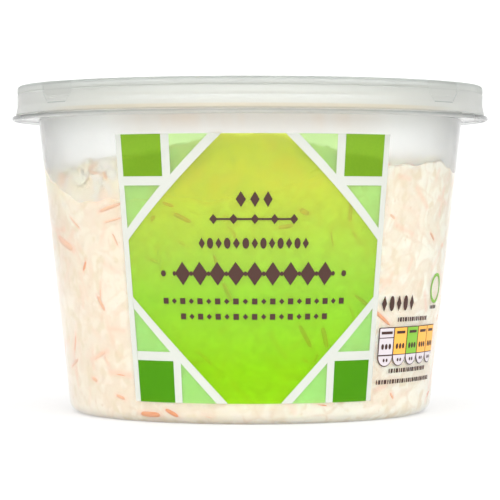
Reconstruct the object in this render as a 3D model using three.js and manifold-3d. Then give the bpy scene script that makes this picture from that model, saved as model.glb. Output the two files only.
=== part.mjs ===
// A round plastic tub of coleslaw with a press-on lid and a printed label on its front.
// Millimetres, +Z up. The origin is the centre of the base on the surface it stands on, and the label faces -Y.
// Every piece stays in one body: the lid is pressed on, and the salad fills the tub.
import * as THREE from "three";
import { mergeVertices } from "three/addons/utils/BufferGeometryUtils.js";
import Module from "manifold-3d";

const wasm = await Module();
wasm.setup();

// ---------------------------------------------------------------- driving dimensions
const SEGMENTS = 48; // facets round every turned piece
const GAP = 0.3; // clearance between pieces that touch
const PLASTIC = 0.8; // wall of the tub and the lid
const BEVEL = 0.3; // small edges of the tub's ledge and rim
const ROUND = 0.6; // softer edges inside the lid

const BASE_WALL_RADIUS = 48.8; // outer wall of the tub, carried down to z = 0
const WALL_TAPER = 0.111; // growth of the outer radius for each millimetre up
const CORNER_RADIUS = 3.5; // where the wall turns into the base
const FOOT_WIDTH = 3; // flat ring that the tub stands on
const FOOT_DEPTH = 0.9; // how far the middle of the base is raised
const FLOOR_THICKNESS = 1;

const LEDGE_RADIUS = 64.65; // widest point of the whole
const LEDGE_TOP = 79.8;
const LEDGE_THICKNESS = 0.6;
const LEDGE_LIP_WIDTH = 0.75;
const LEDGE_LIP_BOTTOM = 78.65;
const RIM_RADIUS = 62.1; // rolled rim, inside the lid's skirt
const RIM_TOP = 86.6;
const RIM_LIP_DEPTH = 2.3;

const LID_TOP = 88;
const SKIRT_RADIUS = 63.25;
const SHOULDER_RADIUS = 1.9; // rounded edge between the lid's top and its skirt
const GROOVE_DEPTH = 0.15; // fine line under the shoulder
const GROOVE_HEIGHT = 0.5;
const FLARE_START = 82.4;
const FLARE_RADIUS = 63.75; // bottom edge of the skirt
const PLUG_RADIUS = 56.6; // the sunk middle of the lid, at its lower edge
const PLUG_TAPER = 0.1;
const PANEL_BOTTOM = 81.3; // underside of the sunk middle
const PANEL_STEP = 0.5; // raised ring in the sunk middle
const PANEL_STEP_RADIUS = 46;
const PANEL_STEP_RUN = 1; // width of the slope up to it
const BEAD_HEIGHT = 83.5; // bead inside the skirt that grips the tub's rim
const BEAD_DEPTH = 0.5;
const BEAD_HALF_HEIGHT = 0.6;

const GRIP_ANGLES = [52.3, -52.3, 127.7, -127.7]; // degrees from the front
const GRIP_SPAN = 12; // degrees
const GRIP_CORNER = 2.2; // degrees that each slanted lower corner takes
const GRIP_BOTTOM = 82.3;
const GRIP_SHOULDER = 84.8; // where the slanted corners start
const GRIP_DEPTH = 0.3;

const LABEL_HALF_ANGLE = 38.5; // degrees
const LABEL_BOTTOM = 5.5;
const LABEL_TOP = 74;
const LABEL_THICKNESS = 0.3;

const FILL_LEVEL = 66.5; // mean top of the salad
const TOP_SWELLS = [
  // broad swells of the top round the tub, growing towards the wall
  { height: 1.1, waves: 2, phase: 1.4 },
  { height: 0.8, waves: 5, phase: -0.5 * Math.PI - 0.4 },
];
const TOP_ROLL = { height: 1.2, waves: 6 }; // a mound in the middle and a ring about it
const TOP_DROOP = 0.8; // how far the top sinks at its edge
const CONTACT_LEVEL = 62; // height up to which it touches the wall, between the hollows
const CONTACT_WAVE = { height: 0.8, waves: 7 };
const HOLLOWS = [
  // dips in that height: degrees from the front, depth, half width in degrees
  { angle: -46, depth: 6, width: 16 },
  { angle: 8, depth: 3.5, width: 14 },
  { angle: 96, depth: 4, width: 12 },
  { angle: 158, depth: 5.5, width: 18 },
  { angle: -112, depth: 3.5, width: 13 },
];
const CORE_SEGMENTS = 32;
const CORE_INSET = 0.9; // the core stays this far inside the tub's inner wall
const CORE_SIDE_STEPS = 4; // rows of facets up the side
const CORE_DENT = { depth: 0.3, waves: 9 }; // shallow dents in every second row
const CORE_CORNER_SHARE = 0.3; // where the core's lower corner is cut
const TOP_INSET = 4; // the top edge of the heap stands this far inside the wall
const TOP_RINGS = [0.94, 0.75, 0.45, 0.15]; // rings of corners on top, as shares of the way out
const TOP_WOBBLE = { share: 0.02, waves: 4 }; // how unevenly round those rings are
const CABBAGE = { width: [2.2, 3.8], thickness: [1, 1.4], length: [14, 30] };
const CARROT = { width: [1.3, 1.8], thickness: [1.2, 1.5], length: [9, 20] };
const SIDE_SHREDS = 46;
const SIDE_BEND = 0.25; // most sideways bend of a shred against the wall
const SIDE_SINK = 0.1; // how much further it is sunk than the clearance to the wall
const SIDE_CLEAR = 2; // height kept free over the lower corner
const SIDE_REACH = 0.8; // share of its reach that a shred keeps under the contact height
const TOP_SHREDS = 46;
const TOP_BEND = 0.3;
const TOP_CURL = [-1.1, 0.5]; // how far the ends of a shred on top dip or rise
const TOP_TILT = 0.4;
const TOP_LIFT = 0.45; // share of its thickness that its middle stands over the core
const TOP_CLEAR = 2; // kept free inside the edge of the top
const TIP_SHARE = 0.6; // width of a shred's ends against its middle
const CARROT_SHARE = 0.35;
const RANDOM_SEED = 20;

// ---------------------------------------------------------------- helpers
const DEGREE = Math.PI / 180;
const SIDE_OF_FACET = Math.cos(Math.PI / SEGMENTS); // middle of a facet against its corners

const wallRadius = (z) => BASE_WALL_RADIUS + WALL_TAPER * z;
const innerRadius = (z) => wallRadius(z) - PLASTIC;

// A point at an angle from the front (-Y), positive towards +X.
function around(angle, radius, z) {
  return new THREE.Vector3(radius * Math.sin(angle), -radius * Math.cos(angle), z);
}

// Small repeatable random generator.
function randomFrom(seed) {
  let state = seed;
  return (low = 0, high = 1) => {
    state = (state + 0x6d2b79f5) | 0;
    let t = Math.imul(state ^ (state >>> 15), 1 | state);
    t = (t + Math.imul(t ^ (t >>> 7), 61 | t)) ^ t;
    return low + (high - low) * (((t ^ (t >>> 14)) >>> 0) / 4294967296);
  };
}

function solidOf(geometry) {
  const bare = geometry.clone();
  bare.deleteAttribute("normal");
  bare.deleteAttribute("uv");
  const merged = mergeVertices(bare, 1e-4);
  return new wasm.Manifold(
    new wasm.Mesh({
      numProp: 3,
      vertProperties: new Float32Array(merged.attributes.position.array),
      triVerts: new Uint32Array(merged.index.array),
    }),
  );
}

function geometryOf(solid) {
  const mesh = solid.getMesh();
  const geometry = new THREE.BufferGeometry();
  geometry.setAttribute("position", new THREE.BufferAttribute(new Float32Array(mesh.vertProperties), 3));
  geometry.setIndex(new THREE.BufferAttribute(new Uint32Array(mesh.triVerts), 1));
  geometry.computeVertexNormals();
  return geometry;
}

// A turned piece: the profile runs from the axis along the underside, up the outside and back to the axis.
function turned(profile) {
  const points = profile.map(([radius, z]) => new THREE.Vector2(radius, z));
  const geometry = new THREE.LatheGeometry(points, SEGMENTS);
  geometry.rotateX(Math.PI / 2);
  return geometry;
}

// Points of an arc in the profile plane, angles in degrees from the outward direction.
function arc(centreRadius, centreZ, radius, from, to, steps) {
  return Array.from({ length: steps + 1 }, (_, i) => {
    const angle = (from + ((to - from) * i) / steps) * DEGREE;
    return [centreRadius + radius * Math.cos(angle), centreZ + radius * Math.sin(angle)];
  });
}

// A closed solid from rings of corners: ring i joins ring i + 1, and both ends are capped.
function lofted(rings) {
  const count = rings[0].length;
  const position = rings.flat().flatMap((p) => [p.x, p.y, p.z]);
  const index = [];
  for (let i = 0; i + 1 < rings.length; i++)
    for (let j = 0; j < count; j++) {
      const a = i * count + j;
      const b = i * count + ((j + 1) % count);
      index.push(a, b, b + count, a, b + count, a + count);
    }
  const last = (rings.length - 1) * count;
  for (let j = 1; j + 1 < count; j++) {
    index.push(0, j + 1, j);
    index.push(last, last + j, last + j + 1);
  }
  const geometry = new THREE.BufferGeometry();
  geometry.setAttribute("position", new THREE.Float32BufferAttribute(position, 3));
  geometry.setIndex(index);
  return geometry;
}

// A plate bent round the axis: its lower and upper edges may change from column to column.
function bentPlate(columns, innerAt, outerAt) {
  return lofted(
    columns.map(({ angle, low, high }) => [
      around(angle, innerAt(low), low),
      around(angle, innerAt(high), high),
      around(angle, outerAt(high), high),
      around(angle, outerAt(low), low),
    ]),
  );
}

// ---------------------------------------------------------------- tub
function tub() {
  const slope = Math.atan(WALL_TAPER);
  const cornerCentre = wallRadius(CORNER_RADIUS) - CORNER_RADIUS / Math.cos(slope);
  const innerCorner = CORNER_RADIUS - PLASTIC / 2;
  const innerFloor = FOOT_DEPTH + FLOOR_THICKNESS;
  const innerCornerZ = innerFloor + innerCorner;
  const innerCentre = innerRadius(innerCornerZ) - innerCorner / Math.cos(slope);
  const footInner = cornerCentre - FOOT_WIDTH;
  const rimLipBottom = RIM_TOP - RIM_LIP_DEPTH;
  return turned([
    [0, FOOT_DEPTH],
    [footInner - FOOT_DEPTH, FOOT_DEPTH],
    [footInner, 0],
    ...arc(cornerCentre, CORNER_RADIUS, CORNER_RADIUS, -90, -slope / DEGREE, 4),
    [wallRadius(LEDGE_TOP - LEDGE_THICKNESS), LEDGE_TOP - LEDGE_THICKNESS],
    [LEDGE_RADIUS - LEDGE_LIP_WIDTH, LEDGE_TOP - LEDGE_THICKNESS],
    [LEDGE_RADIUS - LEDGE_LIP_WIDTH, LEDGE_LIP_BOTTOM],
    [LEDGE_RADIUS - BEVEL, LEDGE_LIP_BOTTOM],
    [LEDGE_RADIUS, LEDGE_LIP_BOTTOM + BEVEL],
    [LEDGE_RADIUS, LEDGE_TOP - BEVEL],
    [LEDGE_RADIUS - BEVEL, LEDGE_TOP],
    [wallRadius(LEDGE_TOP), LEDGE_TOP],
    [wallRadius(RIM_TOP - PLASTIC), RIM_TOP - PLASTIC],
    [RIM_RADIUS - PLASTIC, RIM_TOP - PLASTIC],
    [RIM_RADIUS - PLASTIC, rimLipBottom],
    [RIM_RADIUS, rimLipBottom],
    [RIM_RADIUS, RIM_TOP - BEVEL],
    [RIM_RADIUS - BEVEL, RIM_TOP],
    [innerRadius(RIM_TOP) + BEVEL, RIM_TOP],
    [innerRadius(RIM_TOP - BEVEL), RIM_TOP - BEVEL],
    ...arc(innerCentre, innerCornerZ, innerCorner, -slope / DEGREE, -90, 3),
    [0, innerFloor],
  ]);
}

// ---------------------------------------------------------------- lid
const skirtInner = SKIRT_RADIUS - PLASTIC;
const plugRadius = (z) => PLUG_RADIUS + PLUG_TAPER * (z - PANEL_BOTTOM);

// One recessed grip panel in the skirt, its lower corners slanted.
function gripCutter(centre) {
  const from = centre - GRIP_SPAN / 2;
  const to = centre + GRIP_SPAN / 2;
  const column = (angle, low) => ({ angle: angle * DEGREE, low, high: LID_TOP + 1 });
  const columns = [
    column(from, GRIP_SHOULDER),
    column(from + GRIP_CORNER, GRIP_BOTTOM),
    column(centre, GRIP_BOTTOM),
    column(to - GRIP_CORNER, GRIP_BOTTOM),
    column(to, GRIP_SHOULDER),
  ];
  return bentPlate(
    columns,
    () => SKIRT_RADIUS - GRIP_DEPTH,
    () => LEDGE_RADIUS,
  );
}

function lid() {
  const ringUnder = LID_TOP - PLASTIC;
  const shoulderZ = LID_TOP - SHOULDER_RADIUS;
  const plugInner = plugRadius(LID_TOP) - PLASTIC;
  const skirtBottom = LEDGE_TOP + GAP;
  const panelTop = PANEL_BOTTOM + PLASTIC;
  const stepTopRadius = PANEL_STEP_RADIUS - PLASTIC / 2;
  const body = turned([
    [0, PANEL_BOTTOM + PANEL_STEP],
    [PANEL_STEP_RADIUS, PANEL_BOTTOM + PANEL_STEP],
    [PANEL_STEP_RADIUS + PANEL_STEP_RUN, PANEL_BOTTOM],
    [PLUG_RADIUS - ROUND, PANEL_BOTTOM],
    [plugRadius(PANEL_BOTTOM + ROUND), PANEL_BOTTOM + ROUND],
    [plugRadius(ringUnder), ringUnder],
    [skirtInner - ROUND, ringUnder],
    [skirtInner, ringUnder - ROUND],
    [skirtInner, BEAD_HEIGHT + BEAD_HALF_HEIGHT],
    [skirtInner - BEAD_DEPTH, BEAD_HEIGHT],
    [skirtInner, BEAD_HEIGHT - BEAD_HALF_HEIGHT],
    [skirtInner, FLARE_START],
    [FLARE_RADIUS - PLASTIC, skirtBottom],
    [FLARE_RADIUS, skirtBottom],
    [SKIRT_RADIUS, FLARE_START],
    [SKIRT_RADIUS, shoulderZ - GROOVE_HEIGHT],
    [SKIRT_RADIUS - GROOVE_DEPTH, shoulderZ - GROOVE_HEIGHT / 2],
    ...arc(SKIRT_RADIUS - SHOULDER_RADIUS, shoulderZ, SHOULDER_RADIUS, 0, 90, 4),
    [plugInner + ROUND, LID_TOP],
    [plugInner, LID_TOP - ROUND],
    [plugRadius(panelTop) - PLASTIC, panelTop],
    [stepTopRadius + PANEL_STEP_RUN, panelTop],
    [stepTopRadius, panelTop + PANEL_STEP],
    [0, panelTop + PANEL_STEP],
  ]);
  const cut = GRIP_ANGLES.reduce((solid, angle) => solid.subtract(solidOf(gripCutter(angle))), solidOf(body));
  return geometryOf(cut);
}

// ---------------------------------------------------------------- label
function label() {
  const step = 360 / SEGMENTS;
  const reach = Math.floor(LABEL_HALF_ANGLE / step);
  const angles = [-LABEL_HALF_ANGLE];
  for (let i = -reach; i <= reach; i++) angles.push(i * step);
  angles.push(LABEL_HALF_ANGLE);
  const columns = angles.map((angle) => ({ angle: angle * DEGREE, low: LABEL_BOTTOM, high: LABEL_TOP }));
  return bentPlate(
    columns,
    (z) => wallRadius(z) + GAP,
    (z) => wallRadius(z) + GAP + LABEL_THICKNESS,
  );
}

// ---------------------------------------------------------------- coleslaw
// Height up to which the salad lies against the wall.
function contactAt(angle) {
  return HOLLOWS.reduce((height, hollow) => {
    const away = Math.abs(angle / DEGREE - hollow.angle) % 360;
    const share = Math.min(away, 360 - away) / hollow.width;
    return height - hollow.depth * Math.exp(-share * share);
  }, CONTACT_LEVEL + CONTACT_WAVE.height * Math.sin(CONTACT_WAVE.waves * angle));
}

// Top of the heap at an angle and at a share of the way out to the wall.
function topAt(angle, share) {
  const swell = TOP_SWELLS.reduce((sum, s) => sum + s.height * Math.cos(s.waves * angle + s.phase), 0);
  const roll = TOP_ROLL.height * Math.cos(TOP_ROLL.waves * share + angle);
  return FILL_LEVEL + swell * share + roll - TOP_DROOP * share ** 4;
}

function coleslawCore() {
  const floor = FOOT_DEPTH + FLOOR_THICKNESS + GAP;
  const corner = CORNER_RADIUS;
  const cut = corner * CORE_CORNER_SHARE;
  const inset = (z) => (innerRadius(z) - CORE_INSET) * SIDE_OF_FACET;
  const turn = Array.from({ length: CORE_SEGMENTS }, (_, i) => (i * 2 * Math.PI) / CORE_SEGMENTS);
  const rings = [
    turn.map((angle) => around(angle, inset(floor) - corner, floor)),
    turn.map((angle) => around(angle, inset(floor) - cut, floor + cut)),
  ];
  for (let i = 0; i <= CORE_SIDE_STEPS; i++)
    rings.push(
      turn.map((angle) => {
        const z = floor + corner + ((contactAt(angle) - floor - corner) * i) / CORE_SIDE_STEPS;
        const dent = i % 2 ? CORE_DENT.depth * (1 + Math.cos(CORE_DENT.waves * angle + i)) : 0;
        return around(angle, inset(z) - dent, z);
      }),
    );
  for (const share of TOP_RINGS)
    rings.push(
      turn.map((angle) => {
        const wobble = 1 + TOP_WOBBLE.share * Math.sin(TOP_WOBBLE.waves * angle);
        const radius = (innerRadius(FILL_LEVEL) - TOP_INSET) * share * wobble;
        return around(angle, radius, topAt(angle, share));
      }),
    );
  return lofted(rings);
}

// A shred: a flat strip that follows a few points, narrower at both ends.
function shred(points, facing, width, thickness) {
  const rings = points.map((point, i) => {
    const before = points[Math.max(i - 1, 0)];
    const after = points[Math.min(i + 1, points.length - 1)];
    const along = after.clone().sub(before).normalize();
    const across = facing[i].clone().cross(along).normalize();
    const out = along.clone().cross(across).normalize();
    const share = i === 0 || i === points.length - 1 ? TIP_SHARE : 1;
    return [
      [-1, -1],
      [1, -1],
      [1, 1],
      [-1, 1],
    ].map(([u, v]) =>
      point
        .clone()
        .addScaledVector(across, (u * share * width) / 2)
        .addScaledVector(out, (v * thickness) / 2),
    );
  });
  return lofted(rings);
}

// Stops along a shred, from end to end: a long one bends at two places, a short one at one.
const LONG_SHRED = 18;
const stopsOf = (length) => (length > LONG_SHRED ? [-1, -0.35, 0.35, 1] : [-1, 0, 1]);

// A shred pressed against the tub's wall, mostly sunk in the core.
function sideShred(random, kind) {
  const width = random(...kind.width);
  const thickness = random(...kind.thickness);
  const length = random(...kind.length);
  const heading = random(-0.5, 0.5) * Math.PI;
  const bend = random(-SIDE_BEND, SIDE_BEND);
  const angle = random(-Math.PI, Math.PI);
  const reach = (Math.abs(Math.sin(heading)) * length) / 2 + width;
  const z = random(FOOT_DEPTH + CORNER_RADIUS + SIDE_CLEAR + reach, contactAt(angle) - reach * SIDE_REACH);
  const points = [];
  const facing = [];
  for (const stop of stopsOf(length)) {
    const run = (stop * length) / 2;
    const side = bend * run * stop;
    const height = z + run * Math.sin(heading) + side * Math.cos(heading);
    const turn = angle + (run * Math.cos(heading) - side * Math.sin(heading)) / innerRadius(height);
    const radius = innerRadius(height) * SIDE_OF_FACET - GAP - SIDE_SINK - thickness / 2;
    points.push(around(turn, radius, height));
    facing.push(around(turn, 1, 0));
  }
  return shred(points, facing, width, thickness);
}

// A shred lying on top of the heap.
function topShred(random, kind) {
  const width = random(...kind.width);
  const thickness = random(...kind.thickness);
  const length = random(...kind.length);
  const reach = innerRadius(FILL_LEVEL) - TOP_INSET - TOP_CLEAR - length / 3;
  const away = reach * Math.sqrt(random());
  const angle = random(-Math.PI, Math.PI);
  const centre = around(angle, away, 0);
  const heading = random(0, Math.PI);
  const bend = random(-TOP_BEND, TOP_BEND);
  const curl = random(...TOP_CURL);
  const tilt = random(-TOP_TILT, TOP_TILT);
  const points = [];
  const facing = [];
  for (const stop of stopsOf(length)) {
    const run = (stop * length) / 2;
    const side = bend * run * stop;
    const x = centre.x + run * Math.cos(heading) - side * Math.sin(heading);
    const y = centre.y + run * Math.sin(heading) + side * Math.cos(heading);
    const share = Math.hypot(x, y) / (innerRadius(FILL_LEVEL) - TOP_INSET);
    const lift = thickness * TOP_LIFT + curl * stop * stop;
    points.push(new THREE.Vector3(x, y, topAt(Math.atan2(x, -y), share) + lift));
    facing.push(new THREE.Vector3(tilt, 0, 1));
  }
  return shred(points, facing, width, thickness);
}

function coleslaw() {
  const random = randomFrom(RANDOM_SEED);
  const pick = () => (random() < CARROT_SHARE ? CARROT : CABBAGE);
  let heap = solidOf(coleslawCore());
  for (let i = 0; i < SIDE_SHREDS; i++) heap = heap.add(solidOf(sideShred(random, pick())));
  for (let i = 0; i < TOP_SHREDS; i++) heap = heap.add(solidOf(topShred(random, pick())));
  // The largest shell alone: loose scraps go, and a pocket sealed between shreds is filled.
  const shells = heap.decompose().sort((a, b) => b.volume() - a.volume());
  return geometryOf(shells[0]);
}

// ---------------------------------------------------------------- the object
const finish = {
  tub: { color: 0xe6e9e4, roughness: 0.35, metalness: 0, transparent: true, opacity: 0.45 },
  lid: { color: 0xe3e8e6, roughness: 0.2, metalness: 0, transparent: true, opacity: 0.4 },
  label: { color: 0xaedb3a, roughness: 0.45, metalness: 0 },
  coleslaw: { color: 0xf6efdc, roughness: 0.5, metalness: 0 },
};

const group = new THREE.Group();
const pieces = { tub: tub(), lid: lid(), label: label(), coleslaw: coleslaw() };
for (const [name, geometry] of Object.entries(pieces)) {
  const mesh = new THREE.Mesh(geometry, new THREE.MeshStandardMaterial(finish[name]));
  mesh.name = name;
  group.add(mesh);
}

export default group;
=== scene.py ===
"""Dresses a lidded tub of coleslaw over its packed frame.

Metres, +Z up, the print faces -Y, and the origin is the centre of the base. Each operator below makes
one piece or one group of like pieces, and the last one sets the studio round them.
"""

import itertools
import math
from collections import namedtuple

import bpy
import numpy as np
from bpy.props import FloatProperty, FloatVectorProperty, IntProperty, PointerProperty
from bpy.types import Operator, Panel, PropertyGroup
from mathutils.kdtree import KDTree
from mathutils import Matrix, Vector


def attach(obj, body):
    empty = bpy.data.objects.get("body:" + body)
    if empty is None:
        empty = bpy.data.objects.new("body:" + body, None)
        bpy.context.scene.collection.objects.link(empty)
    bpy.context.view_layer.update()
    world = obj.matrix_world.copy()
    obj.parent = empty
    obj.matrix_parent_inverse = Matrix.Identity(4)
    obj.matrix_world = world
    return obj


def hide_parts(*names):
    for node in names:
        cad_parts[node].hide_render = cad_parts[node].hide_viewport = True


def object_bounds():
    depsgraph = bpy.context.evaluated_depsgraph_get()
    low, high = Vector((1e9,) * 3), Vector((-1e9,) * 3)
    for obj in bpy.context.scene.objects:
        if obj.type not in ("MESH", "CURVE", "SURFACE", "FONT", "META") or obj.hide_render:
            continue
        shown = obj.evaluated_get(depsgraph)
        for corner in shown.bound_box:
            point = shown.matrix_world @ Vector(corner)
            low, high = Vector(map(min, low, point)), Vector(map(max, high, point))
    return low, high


bl_info = {
    "name": "Tub of coleslaw",
    "version": (1, 0, 0),
    "blender": (4, 5, 0),
    "location": "View3D > Sidebar > Coleslaw",
    "description": "Builds a printed tub of coleslaw with its lid, salad and studio",
    "category": "Object",
}

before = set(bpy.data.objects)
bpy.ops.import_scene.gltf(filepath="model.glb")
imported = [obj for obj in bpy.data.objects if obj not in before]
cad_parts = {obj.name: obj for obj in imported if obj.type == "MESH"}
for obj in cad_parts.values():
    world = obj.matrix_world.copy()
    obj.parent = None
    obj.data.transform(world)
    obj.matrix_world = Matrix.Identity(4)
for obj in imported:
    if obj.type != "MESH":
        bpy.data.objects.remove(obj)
CAD_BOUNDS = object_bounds()

MM = 0.001
DEGREE = math.pi / 180
CLOSE = 2e-6  # smallest difference between angles, and smallest length, that counts
BODY = "root"


# ---------------------------------------------------------------- settings
def length(name, description, millimetres):
    """A size that the sidebar shows in millimetres."""
    return FloatProperty(name=name, description=description, default=millimetres * MM, unit="LENGTH")


def turn(name, description, degrees):
    """An angle round the tub, from its front."""
    return FloatProperty(name=name, description=description, default=degrees * DEGREE, subtype="ANGLE")


def factor(name, description, default):
    """A plain number."""
    return FloatProperty(name=name, description=description, default=default, subtype="FACTOR")


def amount(name, default):
    """How many pieces there are of one kind."""
    return IntProperty(name=name, description="Number of pieces", default=default, min=1)


def colour(name, description, red, green, blue):
    """A colour given as screen values from 0 to 255."""
    shares = [value / 255 for value in (red, green, blue)]
    linear = [((share + 0.055) / 1.055) ** 2.4 if share > 0.04 else share / 12.92 for share in shares]
    return FloatVectorProperty(
        name=name, description=description, default=linear, size=3, subtype="COLOR", min=0, max=1
    )


class TubSizes(PropertyGroup):
    """Sizes of the tub."""

    plastic: length("Plastic", "Thickness of the wall", 0.8)
    base_radius: length("Base radius", "Outer wall carried down to the table", 48.8)
    taper: factor("Taper", "Growth of the radius with height", 0.111)
    corner: length("Corner", "Rounding where the wall turns into the base", 3.5)
    foot_width: length("Foot width", "Width of the ring that the tub stands on", 3)
    foot_depth: length("Foot depth", "How far the middle of the base is raised", 0.9)
    floor: length("Floor", "Thickness of the base", 1)
    ledge_radius: length("Ledge radius", "Widest point of the tub", CAD_BOUNDS[1][0] / MM)
    ledge_top: length("Ledge top", "Height of the ledge under the lid", 79.8)
    ledge_thickness: length("Ledge thickness", "Thickness of the ledge", 0.6)
    lip_width: length("Lip width", "Width of the ledge's turned down lip", 0.75)
    lip_bottom: length("Lip bottom", "Lowest point of that lip", 78.65)
    rim_radius: length("Rim radius", "Outside of the rolled rim", 62.1)
    rim_top: length("Rim top", "Top of the rolled rim", 86.6)
    rim_lip: length("Rim lip", "How far the rim turns down outside", 2.3)
    soft_edge: length("Soft edge", "Rounding of the moulded edges", 0.28)


class LidSizes(PropertyGroup):
    """Sizes of the lid."""

    plastic: length("Plastic", "Thickness of the lid", 0.8)
    top: length("Top", "Height of the lid's top", CAD_BOUNDS[1][2] / MM)
    skirt_radius: length("Skirt radius", "Outside of the skirt", 63.25)
    shoulder: length("Shoulder", "Rounding between the top and the skirt", 1.9)
    groove_depth: length("Groove depth", "Fine line under the shoulder", 0.15)
    groove_height: length("Groove height", "Height of that line", 0.5)
    flare_start: length("Flare start", "Height under which the skirt flares", 82.4)
    flare_radius: length("Flare radius", "Bottom edge of the skirt", 63.75)
    skirt_bottom: length("Skirt bottom", "Height of that edge", 80.1)
    plug_radius: length("Plug radius", "Sunk middle at its lower edge", 56.6)
    plug_taper: factor("Plug taper", "Growth of the sunk middle with height", 0.1)
    panel_bottom: length("Panel bottom", "Underside of the sunk middle", 81.3)
    step: length("Step", "Height of the raised middle of the panel", 0.5)
    step_radius: length("Step radius", "Radius of that raised middle", 46)
    step_run: length("Step run", "Width of the slope up to it", 1)
    bead_height: length("Bead height", "Height of the bead inside the skirt", 83.5)
    bead_depth: length("Bead depth", "How far the bead stands in", 0.5)
    bead_half: length("Bead half height", "Half of the bead's height", 0.6)
    grip_turn: turn("Grip turn", "Angle of the grip panels from the front and the back", 52.3)
    grip_span: turn("Grip span", "Width of a grip panel", 12)
    grip_corner: turn("Grip corner", "Width of its slanted lower corners", 2.2)
    grip_bottom: length("Grip bottom", "Lower edge of a grip panel", 82.3)
    grip_shoulder: length("Grip shoulder", "Where its slanted corners start", 84.8)
    grip_depth: length("Grip depth", "How deep a grip panel is sunk", 0.3)
    grip_ribs: IntProperty(name="Grip ribs", description="Fine ribs in a grip panel", default=4)
    rib_height: length("Rib height", "How far a rib stands out", 0.09)
    rib_pitch: length("Rib pitch", "Distance from rib to rib", 0.42)


class PrintSizes(PropertyGroup):
    """Sizes of the print on the front."""

    centre: turn("Centre", "How far the print is turned from the front", 1.3)
    lean: turn("Lean", "How far the left half is stretched outwards at the top", 0.8)
    margin: turn("Margin", "Width of the white margin beside the coloured fields", 1.8)
    half: turn("Print half width", "Half width of the coloured fields", 35.8)
    low: length("Print bottom", "Lower edge of the coloured fields", 5.5)
    high: length("Print top", "Upper edge of the coloured fields", 73.9)
    flat_half: turn("Flat half width", "Half of the octagon's top and bottom edges", 7.8)
    side_low: length("Side bottom", "Lower end of the octagon's upright edges", 32.4)
    side_high: length("Side top", "Upper end of the octagon's upright edges", 47)
    square_inner: turn("Square inner edge", "Inner edge of the corner squares", 23.9)
    square_height: length("Square height", "Height of the corner squares", 10.7)
    beside_outer: turn("Beside outer edge", "Outer edge of the triangle beside a square", 21.6)
    beside_inner: turn("Beside inner edge", "Inner tip of that triangle", 11.1)
    beside_height: length("Beside height", "Height of that triangle", 10.2)
    under_gap: length("Under gap", "White band between a square and the triangle under it", 2.3)
    under_inner: turn("Under inner edge", "Inner tip of the triangle under a square", 24.7)
    under_height: length("Under height", "Height of that triangle", 10.9)
    clearance: length("Clearance", "Distance from the wall to the ink", 0.02)
    ink: length("Ink", "Thickness of a layer of ink", 0.05)
    cell_count: IntProperty(name="Cells", description="Cells in the strip at the right", default=5)
    cell_start: turn("Cell start", "Angle at which the cells start", 40.4)
    cell_pitch: turn("Cell pitch", "Width of a cell", 6.28)
    cell_low: length("Cell bottom", "Lower end of the cells", 14.1)
    cell_middle: length("Cell middle", "Where a cell's colour ends", 17)
    cell_high: length("Cell top", "Upper end of the cells", 24.3)
    cell_corner: length("Cell corner", "Rounding of a cell's lower corners", 2.6)
    cell_line: length("Cell line", "Width of the brown line round a cell", 0.22)
    ring_turn: turn("Ring turn", "Angle of the plain ring", 69.9)
    ring_height: length("Ring height", "Height of its middle", 33.9)
    ring_size: length("Ring size", "Its radius", 3.6)
    ring_line: length("Ring line", "Width of its line", 0.75)


class SaladMix(PropertyGroup):
    """Amounts and sizes of what is in the tub."""

    fill_level: length("Fill level", "Mean top of the heap", 66.5)
    contact_level: length("Contact level", "Height up to which the salad lies on the wall", 64)
    top_inset: length("Top inset", "How far the top's edge stands inside the wall", 1.6)
    reach: length("Reach", "How far the dressing reaches into the wall", 0.3)
    lump_height: length("Lump height", "Unevenness of the heap's top", 1.1)
    lump_size: length("Lump size", "Width of those lumps", 7)
    ridge: length("Ridge", "How far the heap is pushed up behind the front", 6.3)
    pocket_depth: length("Pocket depth", "Depth of the small air pockets at the wall", 0.2)
    cabbage_at_wall: amount("Cabbage at the wall", 620)
    cabbage_at_edge: amount("Cabbage on the shoulder", 190)
    cabbage_on_top: amount("Cabbage on top", 460)
    carrot_at_wall: amount("Carrot at the wall", 430)
    carrot_at_edge: amount("Carrot on the shoulder", 90)
    carrot_on_top: amount("Carrot on top", 220)
    onion_at_wall: amount("Onion at the wall", 150)
    onion_at_edge: amount("Onion on the shoulder", 40)
    onion_on_top: amount("Onion on top", 90)
    seed: IntProperty(name="Seed", description="Start of the random draws", default=20)


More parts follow.
